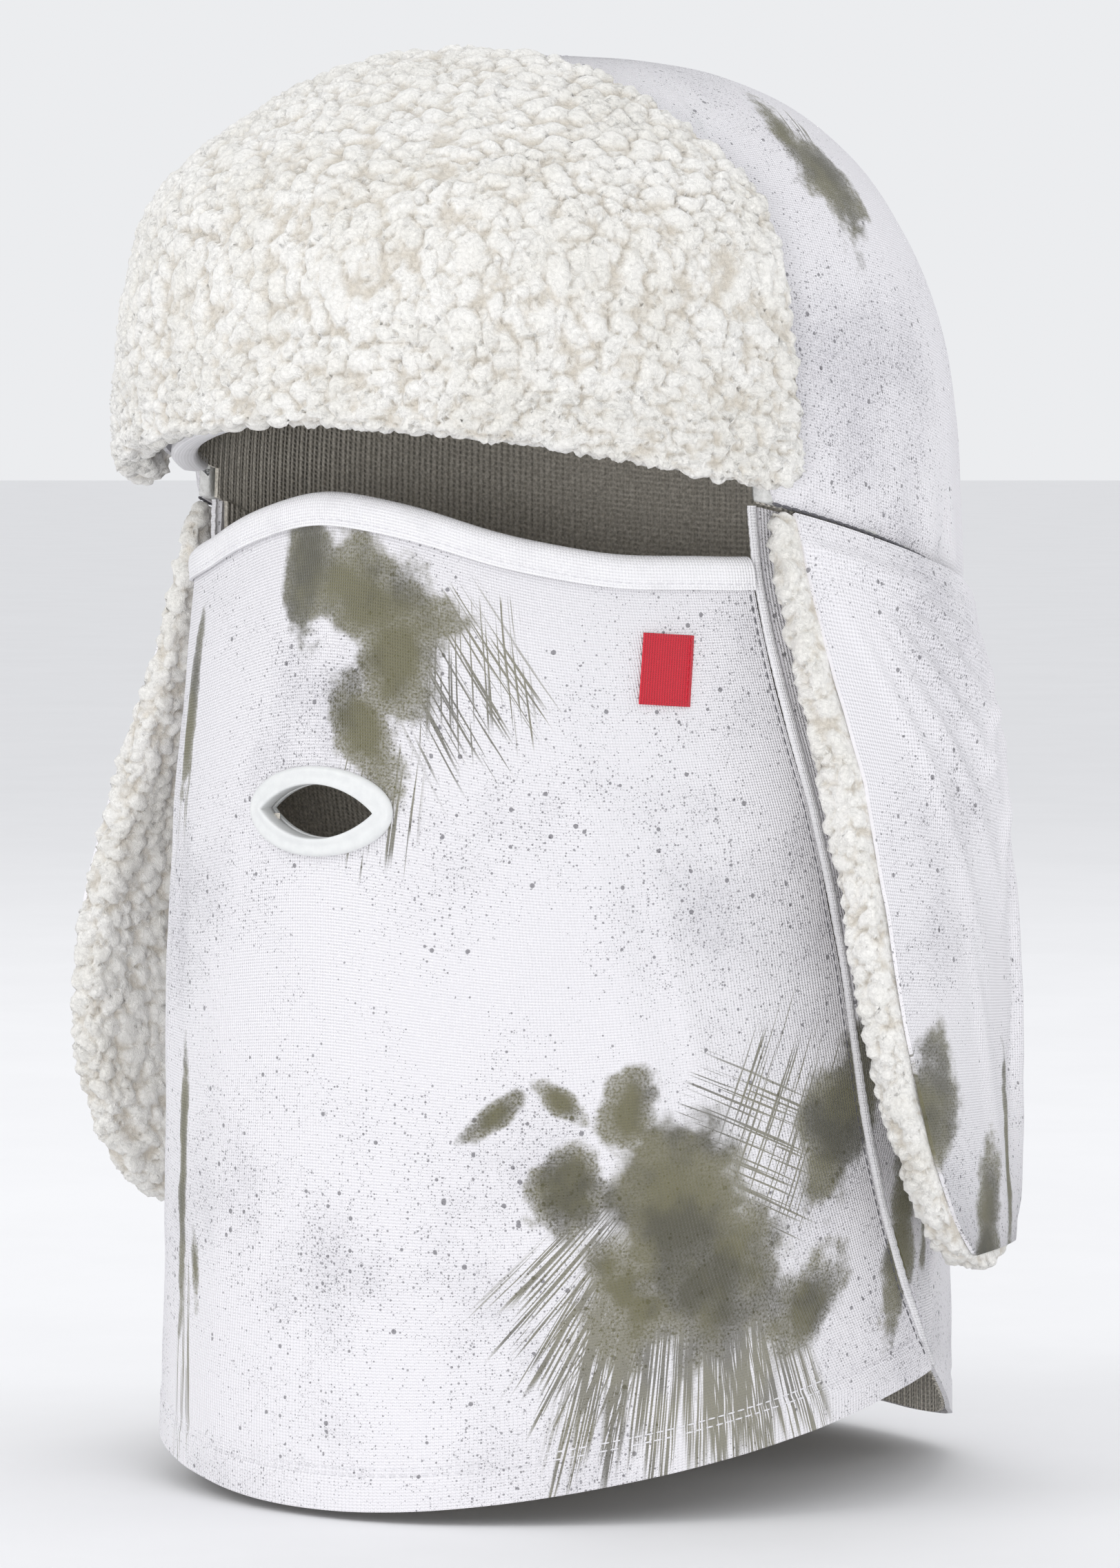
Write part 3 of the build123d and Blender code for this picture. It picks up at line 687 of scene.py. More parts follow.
def cloth_grid(name, columns, rows, place, outward, hole=None):
    """A grid of cloth. place(across, down) gives points in mm. hole(points) marks faces to cut out."""
    bpy.ops.object.select_all(action="DESELECT")
    bpy.ops.mesh.primitive_grid_add(x_subdivisions=columns, y_subdivisions=rows, size=1)
    piece = bpy.context.object
    piece.name = piece.data.name = name
    shares = read_points(piece)
    across = shares[:, 0] + 0.5
    down = 0.5 - shares[:, 1]
    points = place(across, down)
    write_points(piece, points * MM)
    corners = np.array([place(np.full(60, u), np.linspace(0, 1, 60)) for u in (0.25, 0.5, 0.75)])
    length = np.linalg.norm(np.diff(corners, axis=1), axis=2).sum(1).mean()
    middle = np.array([place(np.linspace(0, 1, 90), np.full(90, v)) for v in (0.25, 0.5, 0.75)])
    width = np.linalg.norm(np.diff(middle, axis=1), axis=2).sum(1).max()
    uv = np.zeros(len(piece.data.loops) * 2, np.float32)
    piece.data.uv_layers[0].name = "UVMap"
    piece.data.uv_layers[0].data.foreach_get("uv", uv)
    uv = uv.reshape(-1, 2) * (width * MM, length * MM)
    piece.data.uv_layers[0].data.foreach_set("uv", uv.astype(np.float32).ravel())
    if hole is not None:
        centres = np.array([face.center for face in piece.data.polygons]) / MM
        cut = hole(centres)
        piece.data.polygons.foreach_set("select", cut)
        select_only(piece)
        bpy.ops.object.mode_set(mode="EDIT")
        bpy.ops.mesh.select_mode(type="FACE")
        bpy.ops.object.mode_set(mode="OBJECT")
        piece.data.polygons.foreach_set("select", cut)
        bpy.ops.object.mode_set(mode="EDIT")
        bpy.ops.mesh.delete(type="FACE")
        bpy.ops.object.mode_set(mode="OBJECT")
    facing = sum(face.normal.dot(Vector(outward(face.center))) for face in piece.data.polygons)
    if facing < 0:
        piece.data.flip_normals()
    piece["cut_mm"] = (float(width), float(length))
    return piece


def cloth_area(piece):
    return sum(face.area for face in piece.data.polygons)


def thicken(piece, thick):
    """Solidify inwards, as cloth of this many mm."""
    apply_modifier(piece, "SOLIDIFY", thickness=thick * MM, offset=-1, use_even_offset=False, use_rim=True)


def sew_sheet(piece, thick, held, rests_on, body, material, replaced=()):
    """Thickens and finishes one sheet of cloth, and returns its cut size, how it is held, what it rests on and its
    area.
    """
    area = cloth_area(piece)
    width, length = (x * MM for x in piece["cut_mm"])
    del piece["cut_mm"]
    thicken(piece, thick)
    finish(piece, body, material, replaced)
    grown = max(1.0, area / (width * length) * 1.001)
    cut = {"flat": (width * grown, length), "held": held, "rests_on": rests_on,
           "area": min(area, width * grown * length)}
    print(f"{piece.name}: cut {width * grown / MM:.1f} x {length / MM:.1f} mm, width raised {grown:.3f} times, "
          f"{area * 1e4:.1f} cm2, {len(piece.data.polygons)} faces")
    return cut


def sew_strip(piece, thick, body, material, replaced):
    """A strip under 10 mm wide isn't a sheet of its own. It goes with the cloth it is sewn to."""
    width, length = piece["cut_mm"]
    del piece["cut_mm"]
    thicken(piece, thick)
    finish(piece, body, material, replaced)
    print(f"{piece.name}: strip {width:.1f} x {length:.1f} mm")


def from_axis(spot):
    """Away from the upright middle line of the hat."""
    return spot[0], spot[1], 0


def from_middle(spot):
    return spot[0], spot[1], spot[2] - CROWN_SPRING * MM


# %% Folds and unevenness
def uneven(points, spacing_mm, seed):
    """A slow random height from -1 to 1 at each point, the same on each run."""
    shift = Vector((seed * 17.3, seed * 5.1, seed * 9.7))
    return np.array([noise.noise(Vector(p) / spacing_mm + shift) for p in points])


def crease(u, v, start, end, width, height, open_end=False):
    """A ridge of cloth along a line on the chart, which fades at its ends."""
    du, dv = end[0] - start[0], end[1] - start[1]
    run = math.hypot(du, dv)
    t = ((u - start[0]) * du + (v - start[1]) * dv) / run**2
    aside = ((u - start[0]) * dv - (v - start[1]) * du) / run
    spread = width * (0.5 + 0.9 * np.clip(t, 0, 1))
    fade = np.clip(t, 0, 1) if not open_end else np.clip(t + 0.25, 0, 1)
    ends = np.sin(np.pi * np.clip(fade, 0.0, 1)) ** 0.7 * ((t > 0) & (t < 1) | open_end & (t > -0.25) & (t < 1))
    return height * np.exp(-((aside / spread) ** 2)) * ends


# %% [markdown]
# ## The mask
# The mask is one panel of printed stretch cloth. Its top edge rises over the nose, its
# sides run down and back to a corner, and its hem is turned up. It hugs the face, so it
# has few folds: a soft swelling over the nose and cheeks, long shallow drapes at the
# sides, and puckers along the stitched hem and under the binding.

# %% Mask panel
MOUTH_LEVEL = -92
RING_WIDTH = 42.4
RING_HEIGHT = 21.8
MOUTH_WIDTH = 33
MOUTH_HEIGHT = 12.8
HEM_BAND = 9.6


def mask_spot(across, down, top_drop):
    """Turn and level on the mask for the two shares, and the level of its hem there."""
    level = -25 - 220 * down
    for _ in range(8):
        edge = neck_turn(mask_edge_y(level), level)
        turn = (-math.pi - edge) + across * (2 * edge + math.pi)
        x, y, _ = np.moveaxis(neck_point(turn, level), -1, 0)
        top = bridge_level(x) - top_drop
        bottom = hem_level(y)
        level = top + down * (bottom - top)
    return turn, level, bottom


def mask_relief(turn, level, bottom):
    """How far the mask's cloth stands off its form, in mm."""
    round_head = (turn + math.pi / 2) * 98
    face = neck_point(turn, level)
    relief = 0.75 * uneven(face, 42, 1) + 0.22 * uneven(face, 14, 2)
    relief = relief + 2.2 * np.exp(-((round_head / 17) ** 2) - ((level + 46) / 22) ** 2)
    for start, end, width, height in (((-62, -50), (-80, -205), 5.0, 1.1), ((-80, -70), (-88, -190), 3.2, 0.9),
                                      ((62, -60), (96, -200), 6.0, 1.2), ((84, -95), (112, -215), 4.0, 1.2),
                                      ((50, -120), (72, -235), 7.0, 0.8), ((-30, -150), (-38, -250), 8.0, 0.7),
                                      ((20, -160), (8, -252), 9.0, 0.7), ((-22, -34), (-60, -58), 4.5, 0.5),
                                      ((28, -38), (66, -60), 5.0, 0.5)):
        relief = relief + crease(round_head, level, start, end, width, height)
    above = level - bottom
    relief = relief + 0.45 / (1 + np.exp((above - HEM_BAND) * 2.2))
    relief = relief - 0.5 * np.exp(-(((above - HEM_BAND) / 0.9) ** 2)) * (0.75 + 0.25 * np.sin(round_head * 1.9))
    relief = relief + 1.1 * np.exp(-above / 26) * np.sin(round_head / 15 + 0.8) * 0.6
    mouth = np.hypot(round_head / (RING_WIDTH / 2 + 3), (level - MOUTH_LEVEL) / (RING_HEIGHT / 2 + 3))
    return np.where(mouth < 1.6, relief * np.clip((mouth - 1) / 0.6, 0, 1), relief)


def mask_place(across, down):
    turn, level, bottom = mask_spot(across, down, 3.4)
    return neck_point(turn, level, mask_relief(turn, level, bottom))


def mouth_hole(centres):
    level = centres[:, 2] - MOUTH_LEVEL
    return (np.hypot(centres[:, 0] / (MOUTH_WIDTH / 2 + 1.4), level / (MOUTH_HEIGHT / 2 + 1.6)) < 1) & (centres[:, 1] < 0)


mask = cloth_grid("mask_cloth", 150, 124, mask_place, from_axis, mouth_hole)
mask_cut = sew_sheet(mask, SHELL_THICK, "stretched", ["mask_lining_rib"], "hood", snow_cloth,
          ["mask_shell"])

# %% [markdown]
# ## The neck panels
# Two panels of the same cloth close the neck from the mask's edge to a seam at the back.
# They hang more freely than the mask, so they drape in long folds, and their lower front
# corners hang down in a soft point behind the mask.

# %% Neck panels
NECK_START = TRIM_WIDTH + 0.6


def neck_spot(across, down, side):
    """Turn and level on a neck panel: across runs from the mask's edge to the back seam."""
    level = -40 - 200 * down
    for _ in range(8):
        start = neck_turn(mask_edge_y(np.minimum(level, -19)) + NECK_START, level)
        turn = start + across * (math.pi / 2 - 0.0035 - start)
        y = neck_point(turn, level)[..., 1]
        top = seam_level(y) - 0.3
        bottom = back_hem_level(np.maximum(y, 27.8))
        level = top + down * (bottom - top)
    return (turn if side > 0 else math.pi - turn), level, bottom


def neck_place(side):
    def place(across, down):
        turn, level, bottom = neck_spot(across, down, side)
        round_head = turn * 98 if side > 0 else (math.pi - turn) * 98
        face = neck_point(turn, level)
        relief = 0.55 * uneven(face, 36, 3) + 0.25 * uneven(face, 12, 4)
        hang = np.clip((-140 - level) / 90, 0, 1)
        relief = relief + hang * 1.6 * np.sin(round_head / 11 + 0.6) * np.clip((round_head + 8) / 30, 0, 1)
        above = level - bottom
        relief = relief - 0.4 * np.exp(-(((above - HEM_BAND) / 0.9) ** 2))
        return neck_point(turn, level, np.clip(relief, -0.4, 4))
    return place


for side, label in ((1, "left"), (-1, "right")):
    panel = cloth_grid(f"neck_cloth_{label}", 104, 104, neck_place(side), from_axis)
    sew_sheet(panel, SHELL_THICK, "hung", ["crown_cloth_" + label], "hood", snow_cloth,
              [f"neck_panel_{label}"])

# %% [markdown]
# ## The ribbed lining
# The lining is a rib knit, whose upright ribs show in the eye opening and up the inside of
# the hat. The ribs are pressed into the sheets themselves as small waves. A wave needs
# about four points across, so a rib 3 mm wide gives a light mesh even right round the neck.

# %% Lining sheets
RIB_WIDTH = 3.0
RIB_DEPTH = 0.22


def ribs(run):
    return RIB_DEPTH * np.cos(run * 2 * math.pi / RIB_WIDTH)


def mask_lining_place(across, down):
    turn, level, _ = mask_spot(across, down, 4.8)
    return neck_point(turn, level, LINING_OUTER - RIB_DEPTH + ribs(turn * 96))


def neck_lining_place(across, down):
    side = np.where(across < 0.5, -1, 1)
    start_share = np.abs(across - 0.5) * 2
    level = -40 - 200 * down
    for _ in range(8):
        start = neck_turn(mask_edge_y(np.minimum(level, -19)) + NECK_START, level)
        turn = math.pi / 2 + start_share * (start - math.pi / 2)
        y = neck_point(turn, level)[..., 1]
        top = seam_level(y) - 0.3
        bottom = back_hem_level(np.maximum(y, 27.8)) + 0.6
        level = top + down * (bottom - top)
    turn = np.where(side > 0, turn, math.pi - turn)
    return neck_point(turn, level, LINING_OUTER - RIB_DEPTH + ribs(turn * 96))


mask_rib = cloth_grid("mask_lining_rib", 330, 30, mask_lining_place, from_axis, mouth_hole)
sew_sheet(mask_rib, LINING_THICK - 2 * RIB_DEPTH, "stretched", ["mask_cloth"], "hood", rib,
          ["mask_lining"])
neck_rib = cloth_grid("neck_lining_rib", 460, 30, neck_lining_place, from_axis)
sew_sheet(neck_rib, LINING_THICK - 2 * RIB_DEPTH, "hung", ["neck_cloth_left"], "hood", rib,
          ["neck_lining"])


def crown_low(turn, lift):
    """The lowest level of a crown sheet at each turn: the flap seam, or the brow edge in front."""
    level = np.full(np.shape(turn), -30.0)
    for _ in range(6):
        share = np.where(level < CROWN_SPRING, 1.0, np.interp(level, DOME_LEVELS, DOME_SHARES))
        x = CROWN_HALF_WIDTH * share * np.cos(turn)
        y = CROWN_HALF_DEPTH * share * np.sin(turn)
        level = np.where(y > FACE_SIDE, seam_level(y) + 0.3, np.maximum(brow_level(x) + lift, seam_level(FACE_SIDE) + 0.3))
    return level


def crown_lining_place(across, down):
    turn = -math.pi + across * 2 * math.pi
    turn = turn - math.pi / 2
    climb = (1 - down) * 0.985
    return dome_point(turn, crown_low(turn, 2.5), climb, CROWN_LINING_OUTER - RIB_DEPTH + ribs(turn * 100) * (1 - climb))


crown_rib = cloth_grid("crown_lining_rib", 560, 34, crown_lining_place, from_middle)
crown_rib_cap = crown_lining_place(np.zeros(1), np.zeros(1))
select_only(crown_rib)
bpy.ops.object.mode_set(mode="EDIT")
bpy.ops.mesh.select_all(action="SELECT")
bpy.ops.mesh.remove_doubles(threshold=0.02 * MM)
bpy.ops.object.mode_set(mode="OBJECT")
sew_sheet(crown_rib, LINING_THICK - 2 * RIB_DEPTH, "stretched", ["crown_wadding"], "hood", rib,
          ["crown_lining"])

# %% [markdown]
# ## The crown
# The crown is two shaped panels that meet in a seam over the head. Each is a grid from the
# brow and the flap seam up to the very top, where its last row closes on one point. The
# cloth rolls in at the flap seam, where it is gathered, and along the seam over the head.

# %% Crown panels
def crown_place(side):
    def place(across, down):
        turn = -math.pi / 2 + 0.0032 + across * (math.pi - 0.0064)
        low = crown_low(turn, 2.5)
        climb = 1 - down
        flat = dome_point(turn, low, climb)
        run = down * 0 + climb * 190
        relief = 0.8 * uneven(flat, 48, 5) + 0.25 * uneven(flat, 15, 6)
        relief = relief - 1.6 * np.exp(-run / 2.6)
        gather = np.exp(-run / 15) * np.clip((flat[:, 1] + 30) / 60, 0, 1)
        relief = relief + 0.9 * gather * np.sin(turn * 34 + 2 * uneven(flat, 30, 7))
        relief = relief - 1.1 * np.exp(-((flat[:, 0] / 2.4) ** 2))
        relief = relief + 0.25 * np.exp(-(((flat[:, 0] - 5) / 2.2) ** 2))
        front = np.clip((FACE_SIDE - 2 - flat[:, 1]) / 6, 0, 1)
        relief = np.where(relief > 0, relief * (1 - front), relief)
        keep = dome_point(turn, low, climb, np.minimum(relief, 2.6))
        keep[:, 0] = np.maximum(keep[:, 0], 0.15)
        keep[:, 0] = keep[:, 0] * side
        return keep
    return place


for side, label in ((1, "left"), (-1, "right")):
    panel = cloth_grid(f"crown_cloth_{label}", 120, 100, crown_place(side), from_middle)
    select_only(panel)
    bpy.ops.object.mode_set(mode="EDIT")
    bpy.ops.mesh.select_all(action="SELECT")
    bpy.ops.mesh.remove_doubles(threshold=0.05 * MM)
    bpy.ops.object.mode_set(mode="OBJECT")
    sew_sheet(panel, SHELL_THICK, "stretched", ["crown_wadding"], "hood", snow_crown,
              [f"crown_shell_{label}"])

# %% [markdown]
# ## The ear flaps' outer cloth
# Each ear flap is a tongue of cloth backed with pile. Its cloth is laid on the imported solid:
# a ray goes in from the side at each point of the grid and stops on the solid. The tongue's
# outline comes from the solid too. Gathers fan out from the front corner of the flap seam
# towards the back, and long folds run down the tongue.

# %% Laying cloth on a solid
def solid_tree(*names):
    """A search tree of CAD solids, in metres."""
    points, faces = [], []
    for node in names:
        mesh = nodes[node].data
        start = len(points)
        points += [v.co.copy() for v in mesh.vertices]
        faces += [[start + i for i in face.vertices] for face in mesh.polygons]
    return BVHTree.FromPolygons(points, faces)


def side_outline(node):
    """The front and back edges of a node seen from the side, each as levels and y, going up."""
    spots = [(v.co.y / MM, v.co.z / MM) for v in nodes[node].data.vertices]
    hull = [spots[i] for i in convex_hull_2d(spots)]
    low = min(range(len(hull)), key=lambda i: hull[i][1])
    round_it = np.array(hull[low:] + hull[:low] + [hull[low]])
    front_top = int(np.argmax(round_it[:, 1] - round_it[:, 0] * 0.3))
    back_top = int(np.argmax(round_it[:, 1] + round_it[:, 0] * 1.0))
    first, last = sorted((front_top, back_top))
    one = round_it[:first + 1]
    other = round_it[last:][::-1]
    front, back = (one, other) if one[:, 0].mean() < other[:, 0].mean() else (other, one)
    return front, back


def stand_out(points):
    """The right flap is pushed out at its front, as a flap that has been folded up for long."""
    low = np.clip((-50 - points[:, 2]) / 95, 0, 1)
    front = np.clip((46 - points[:, 1]) / 70, 0, 1)
    moved = points.copy()
    moved[:, 0] = moved[:, 0] - 11 * (3 * low**2 - 2 * low**3) * front
    return moved


def ear_place(side, node, tree, relief):
    """Lays a grid on an ear flap from outside. relief(y, level, down) gives folds in mm."""
    front, back = side_outline(node)
    tip = front[0, 1] + 5.5

    def place(across, down):
        pace = 1 - (1 - down) ** 1.0
        drop = 0.5 * pace + 0.5 * np.sin(pace * math.pi / 2)
        y = np.zeros_like(across)
        level = -60.0 - 140 * drop
        for _ in range(8):
            y_front = np.interp(level, front[:, 1], front[:, 0]) + 5.5
            y_back = np.interp(level, back[:, 1], back[:, 0]) - 0.8
            y = y_front + across * (y_back - y_front)
            top = seam_level(y) - 0.75
            level = top + drop * (tip - top)
        spots = []
        for y_mm, level_mm in zip(y, level):
            origin = Vector((side * 0.3, y_mm * MM, level_mm * MM))
            hit, normal, _, _ = tree.ray_cast(origin, Vector((-side, 0, 0)))
            if hit is None:
                hit, normal, _, _ = tree.find_nearest(Vector((side * 0.115, y_mm * MM, level_mm * MM)))
            spots.append((*hit, *normal))
        spots = np.array(spots)
        normal = spots[:, 3:]
        normal = normal * np.sign(normal[:, :1] * side)
        laid = spots[:, :3] / MM + normal * relief(y, level, down)[:, None]
        return laid if side > 0 else stand_out(laid)
    return place


def left_flap_relief(y, level, down):
    """Gathers from the front corner of the seam, and folds down the tongue."""
    flat = np.stack([y * 0 + 100, y, level], -1)
    relief = 0.6 * uneven(flat, 34, 8) + 0.3 * uneven(flat, 11, 9)
    for end, width, height in (((48, -50), 2.2, 2.2), ((60, -64), 2.6, 2.8), ((62, -82), 2.8, 2.4),
                               ((56, -104), 3.2, 2.2), ((44, -126), 3.6, 1.8), ((26, -146), 3.6, 1.5)):
        relief = relief + crease(y, level, (-34, -28), end, width, height)
    for start, end, width, height in (((72, -50), (16, -96), 2.6, 2.0), ((70, -58), (34, -124), 2.8, 2.0),
                                      ((62, -84), (40, -196), 3.6, 3.2), ((8, -120), (22, -200), 4.4, 1.5),
                                      ((52, -130), (30, -190), 2.5, -0.8)):
        relief = relief + crease(y, level, start, end, width, height)
    return np.clip(relief - 1.3 * np.exp(-(seam_level(y) - level) / 2.0), -1.4, 4.5)


def right_flap_relief(y, level, down):
    flat = np.stack([y * 0 - 100, y, level], -1)
    relief = 0.6 * uneven(flat, 34, 10) + 0.3 * uneven(flat, 11, 11)
    for end, width, height in (((52, -54), 2.8, 1.4), ((60, -76), 3.4, 1.6), ((54, -102), 4.0, 1.3),
                               ((34, -134), 4.6, 1.1)):
        relief = relief + crease(y, level, (-34, -30), end, width, height)
    relief = relief + crease(y, level, (66, -86), (38, -190), 4.5, 1.6)
    return np.clip(relief - 1.3 * np.exp(-(seam_level(y) - level) / 2.0), -1.4, 4.5)


# %% Ear-flap cloth
for side, label, relief in ((1, "left", left_flap_relief), (-1, "right", right_flap_relief)):
    node = f"{label}_ear_flap_shell"
    laid = ear_place(side, node, solid_tree(node), relief)
    flap = cloth_grid(f"{label}_ear_flap_cloth", 76, 116, laid, lambda spot, side=side: (side, 0, 0))
    sew_sheet(flap, SHELL_THICK - 0.2, "hung", [f"{label}_ear_flap_pile"], f"{label}_ear_flap",
              snow_cloth, [node])

# %% [markdown]
# ## Front flap cloth, back flap cloth, patches, facing
# The front flap folds up against the crown, so its printed side faces the crown and shows
# only when the flap is turned down. The back flap is a short one over the nape. Two tape
# patches hold the front flap up. The hem's turned-up part runs inside the mask's lining.

# %% Front flap's printed side
FLAP_REAR = -49.0
FRONT_SHELL_OUT = 3.2


def front_shell_place(across, down):
    """Columns that climb the dome from the brow edge until they reach the flap's back edge."""
    out = FRONT_SHELL_OUT
    reach = math.acos(-FLAP_REAR / (CROWN_HALF_DEPTH + out)) - 0.004
    turn = -math.pi / 2 + (across - 0.5) * 2 * reach
    low = np.maximum(brow_level((CROWN_HALF_WIDTH + out) * np.cos(turn)), -17) + 4.5
    short, long = np.zeros_like(across), np.ones_like(across)
    for _ in range(22):
        middle = (short + long) / 2
        in_front = dome_point(turn, low, middle, np.full_like(across, out))[:, 1] < FLAP_REAR
        short = np.where(in_front, middle, short)
        long = np.where(in_front, long, middle)
    flat = dome_point(turn, low, short * (1 - down))
    relief = out + 0.4 * uneven(flat, 30, 12)
    return dome_point(turn, low, short * (1 - down), np.clip(relief, out - 0.15, out + 0.15))


front_cloth = cloth_grid("front_flap_cloth", 120, 60, front_shell_place, from_middle)
sew_sheet(front_cloth, SHELL_THICK, "folded", ["front_flap_pile"], "front_flap", snow_crown,
          ["front_flap_shell"])

# %% Back flap's outer cloth
def back_flap_place(across, down):
    x = -54.6 + 109.2 * across
    corner = np.clip(np.abs(x) - 37, 0, 18)
    bottom = -131.6 + 18 - np.sqrt(18.0**2 - corner**2 + 0.01)
    level = -60 - 70 * down
    spots = []
    y = np.full_like(x, 100.0)
    for _ in range(3):
        top = seam_level(y) - 0.9
        level = top + down * (bottom - top)
        spots = []
        for x_mm, level_mm in zip(x, level):
            hit, normal, _, _ = back_tree.ray_cast(Vector((x_mm * MM, 0.3, level_mm * MM)), Vector((0, -1, 0)))
            if hit is None:
                hit, normal, _, _ = back_tree.find_nearest(Vector((x_mm * MM, 0.12, level_mm * MM)))
            spots.append((*hit, *(normal if normal.y > 0 else -normal)))
        y = np.array(spots)[:, 1] / MM
    spots = np.array(spots)
    relief = 0.5 * uneven(spots[:, :3] / MM, 26, 13) - 1.2 * np.exp(-(seam_level(y) - level) / 2)
    for end in (-38, -14, 12, 36):
        relief = relief + crease(x, level, (end * 0.8, -55), (end, -104), 3.2, 1.1)
    return spots[:, :3] / MM + spots[:, 3:] * np.clip(relief, -1.3, 3)[:, None]


back_tree = solid_tree("back_flap_shell")
back_cloth = cloth_grid("back_flap_cloth", 64, 50, back_flap_place, lambda spot: (0, 1, 0))
sew_sheet(back_cloth, SHELL_THICK - 0.2, "hung", ["back_flap_pile"], "hood", snow_cloth,
          ["back_flap_shell"])

# %% Turned-up hem inside the mask
FACING_OUT = -3.2
FACING_HEIGHT = 8.8


def facing_place(across, down):
    turn, _, bottom = mask_spot(across, np.ones_like(across), 3.4)
    level = bottom + 0.2 + FACING_HEIGHT * (1 - down)
    edge = neck_turn(mask_edge_y(level), level)
    turn = (-math.pi - edge) + across * (2 * edge + math.pi)
    pucker = 0.12 * np.sin(turn * 98 * 1.9) * np.exp(-((down / 0.3) ** 2))
    return neck_point(turn, level, FACING_OUT + pucker)


facing = cloth_grid("hem_facing_cloth", 240, 8, facing_place, from_axis)
sew_strip(facing, LINING_THICK - 0.2, "hood", snow_cloth, ["mask_hem_facing"])

# %% Hook and loop patches under the front flap
PATCH_LEVEL = 58
PATCH_WIDTH = 60
PATCH_HEIGHT = 18


def patch_place(out):
    """A patch on the crown behind the front flap, with small soft tufts all over it."""
    def place(across, down):
        x = (across - 0.5) * (PATCH_WIDTH - 0.4)
        level = PATCH_LEVEL + (0.5 - down) * (PATCH_HEIGHT - 0.4)
        share = np.interp(level, DOME_LEVELS, DOME_SHARES)
        turn = -np.arccos(np.clip(x / (CROWN_HALF_WIDTH * share), -1, 1))
        low = np.full_like(x, -30.0)
        climb = np.interp(level, DOME_LEVELS, dome_run) / dome_run[-1]
        tuft = 0.12 * np.sin(across * 24 * math.pi) * np.sin(down * 8 * math.pi)
        return dome_point(turn, low, climb, out + tuft)
    return place


for name, out, body, node in (("hook_patch", 0.82, "hood", "flap_hook_patch"),
                              ("loop_patch", 1.72, "front_flap", "flap_loop_patch")):
    piece = cloth_grid(name, 96, 32, patch_place(out), from_middle)
    sew_sheet(piece, 0.45, "laid", ["crown_cloth_left"], body, hooks, [node])

# %% [markdown]
# ## The curly pile
# The pile is what makes this hat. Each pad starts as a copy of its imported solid, which is
# remeshed and swollen a little by a cloth simulation with pressure, so that its edges go
# soft and round. Then it is remeshed finely and its skin is worked into curls: every curl
# is a lump of its own, longer than it is wide, with a deep crease between it and the next.
# The side that lies on other cloth stays flat, so nothing pushes through it.

# %% Pads
PAD_VOXEL = 4.5
PILE_VOXEL = 1.05
CURL_SIZE = 5.2


def own_copy(name, node):
    """A copy of a CAD solid as a new, closed mesh."""
    piece = bpy.data.objects.new(name, nodes[node].data.copy())
    bpy.context.scene.collection.objects.link(piece)
    piece.data.name = name
    piece.data.materials.clear()
    select_only(piece)
    bpy.ops.object.mode_set(mode="EDIT")
    bpy.ops.mesh.select_all(action="SELECT")
    bpy.ops.mesh.remove_doubles(threshold=0.005 * MM)
    bpy.ops.object.mode_set(mode="OBJECT")
    return piece


def remesh(piece, voxel):
    select_only(piece)
    piece.data.remesh_voxel_size = voxel * MM
    piece.data.remesh_voxel_adaptivity = 0
    bpy.ops.object.voxel_remesh()


def swell(piece, cap):
    """Swells a pad with air pressure in a cloth simulation. No point moves further than cap mm."""
    before = read_points(piece)
    select_only(piece)
    modifier = piece.modifiers.new("Cloth", "CLOTH")
    modifier.settings.use_pressure = True
    modifier.settings.uniform_pressure_force = 4
    modifier.settings.quality = 5
    modifier.settings.effector_weights.gravity = 0
    modifier.point_cache.frame_start = 1
    modifier.point_cache.frame_end = 20
    scene = bpy.context.scene
    for step in range(1, 21):
        scene.frame_set(step)
    bpy.ops.object.modifier_apply(modifier="Cloth")
    scene.frame_set(1)
    move = read_points(piece) - before
    length = np.linalg.norm(move, axis=1, keepdims=True).clip(1e-9)
    write_points(piece, before + move * np.minimum(1, cap * MM / length))


def tree_of_piece(piece):
    mesh = piece.data
    return BVHTree.FromPolygons([v.co.copy() for v in mesh.vertices], [tuple(f.vertices) for f in mesh.polygons])


def curl_heights(points, size, flow):
    """Height of the pile at each point, from -1 in a crease to 1 on top of a curl."""
    heights = np.zeros(len(points))
    for i, p in enumerate(points):
        spot = Vector(p)
        slow = (noise.noise_vector(spot / 19.0) * 0.6 + noise.noise_vector(spot / 7.0) * 0.5
                + noise.noise_vector(spot / 3.0) * 0.24)
        local = spot / size
        local.z *= flow(p)
        near, places = noise.voronoi(local + slow)
        crest = min(1.0, (near[1] - near[0]) * 2.4)
        dome = max(0.0, 1 - 1.5 * near[0] ** 2)
        second = noise.voronoi((local + slow) * 2.3 + Vector((7, 3, 1)))[0]
        small = min(1.0, (second[1] - second[0]) * 2.0)
        heights[i] = 0.85 * math.sqrt(crest) + 0.95 * dome - 1.0 + 0.34 * (math.sqrt(small) - 0.6)
    return heights


def keep_clear(points, trees, near, far):
    """0 where a point lies on other cloth, 1 where it is free."""
    share = np.ones(len(points))
    for tree in trees:
        for i, p in enumerate(points):
            found = tree.find_nearest(Vector(p), far * MM)
            if found[0] is not None:
                share[i] = min(share[i], max(0.0, (found[3] / MM - near) / (far - near)))
    return share


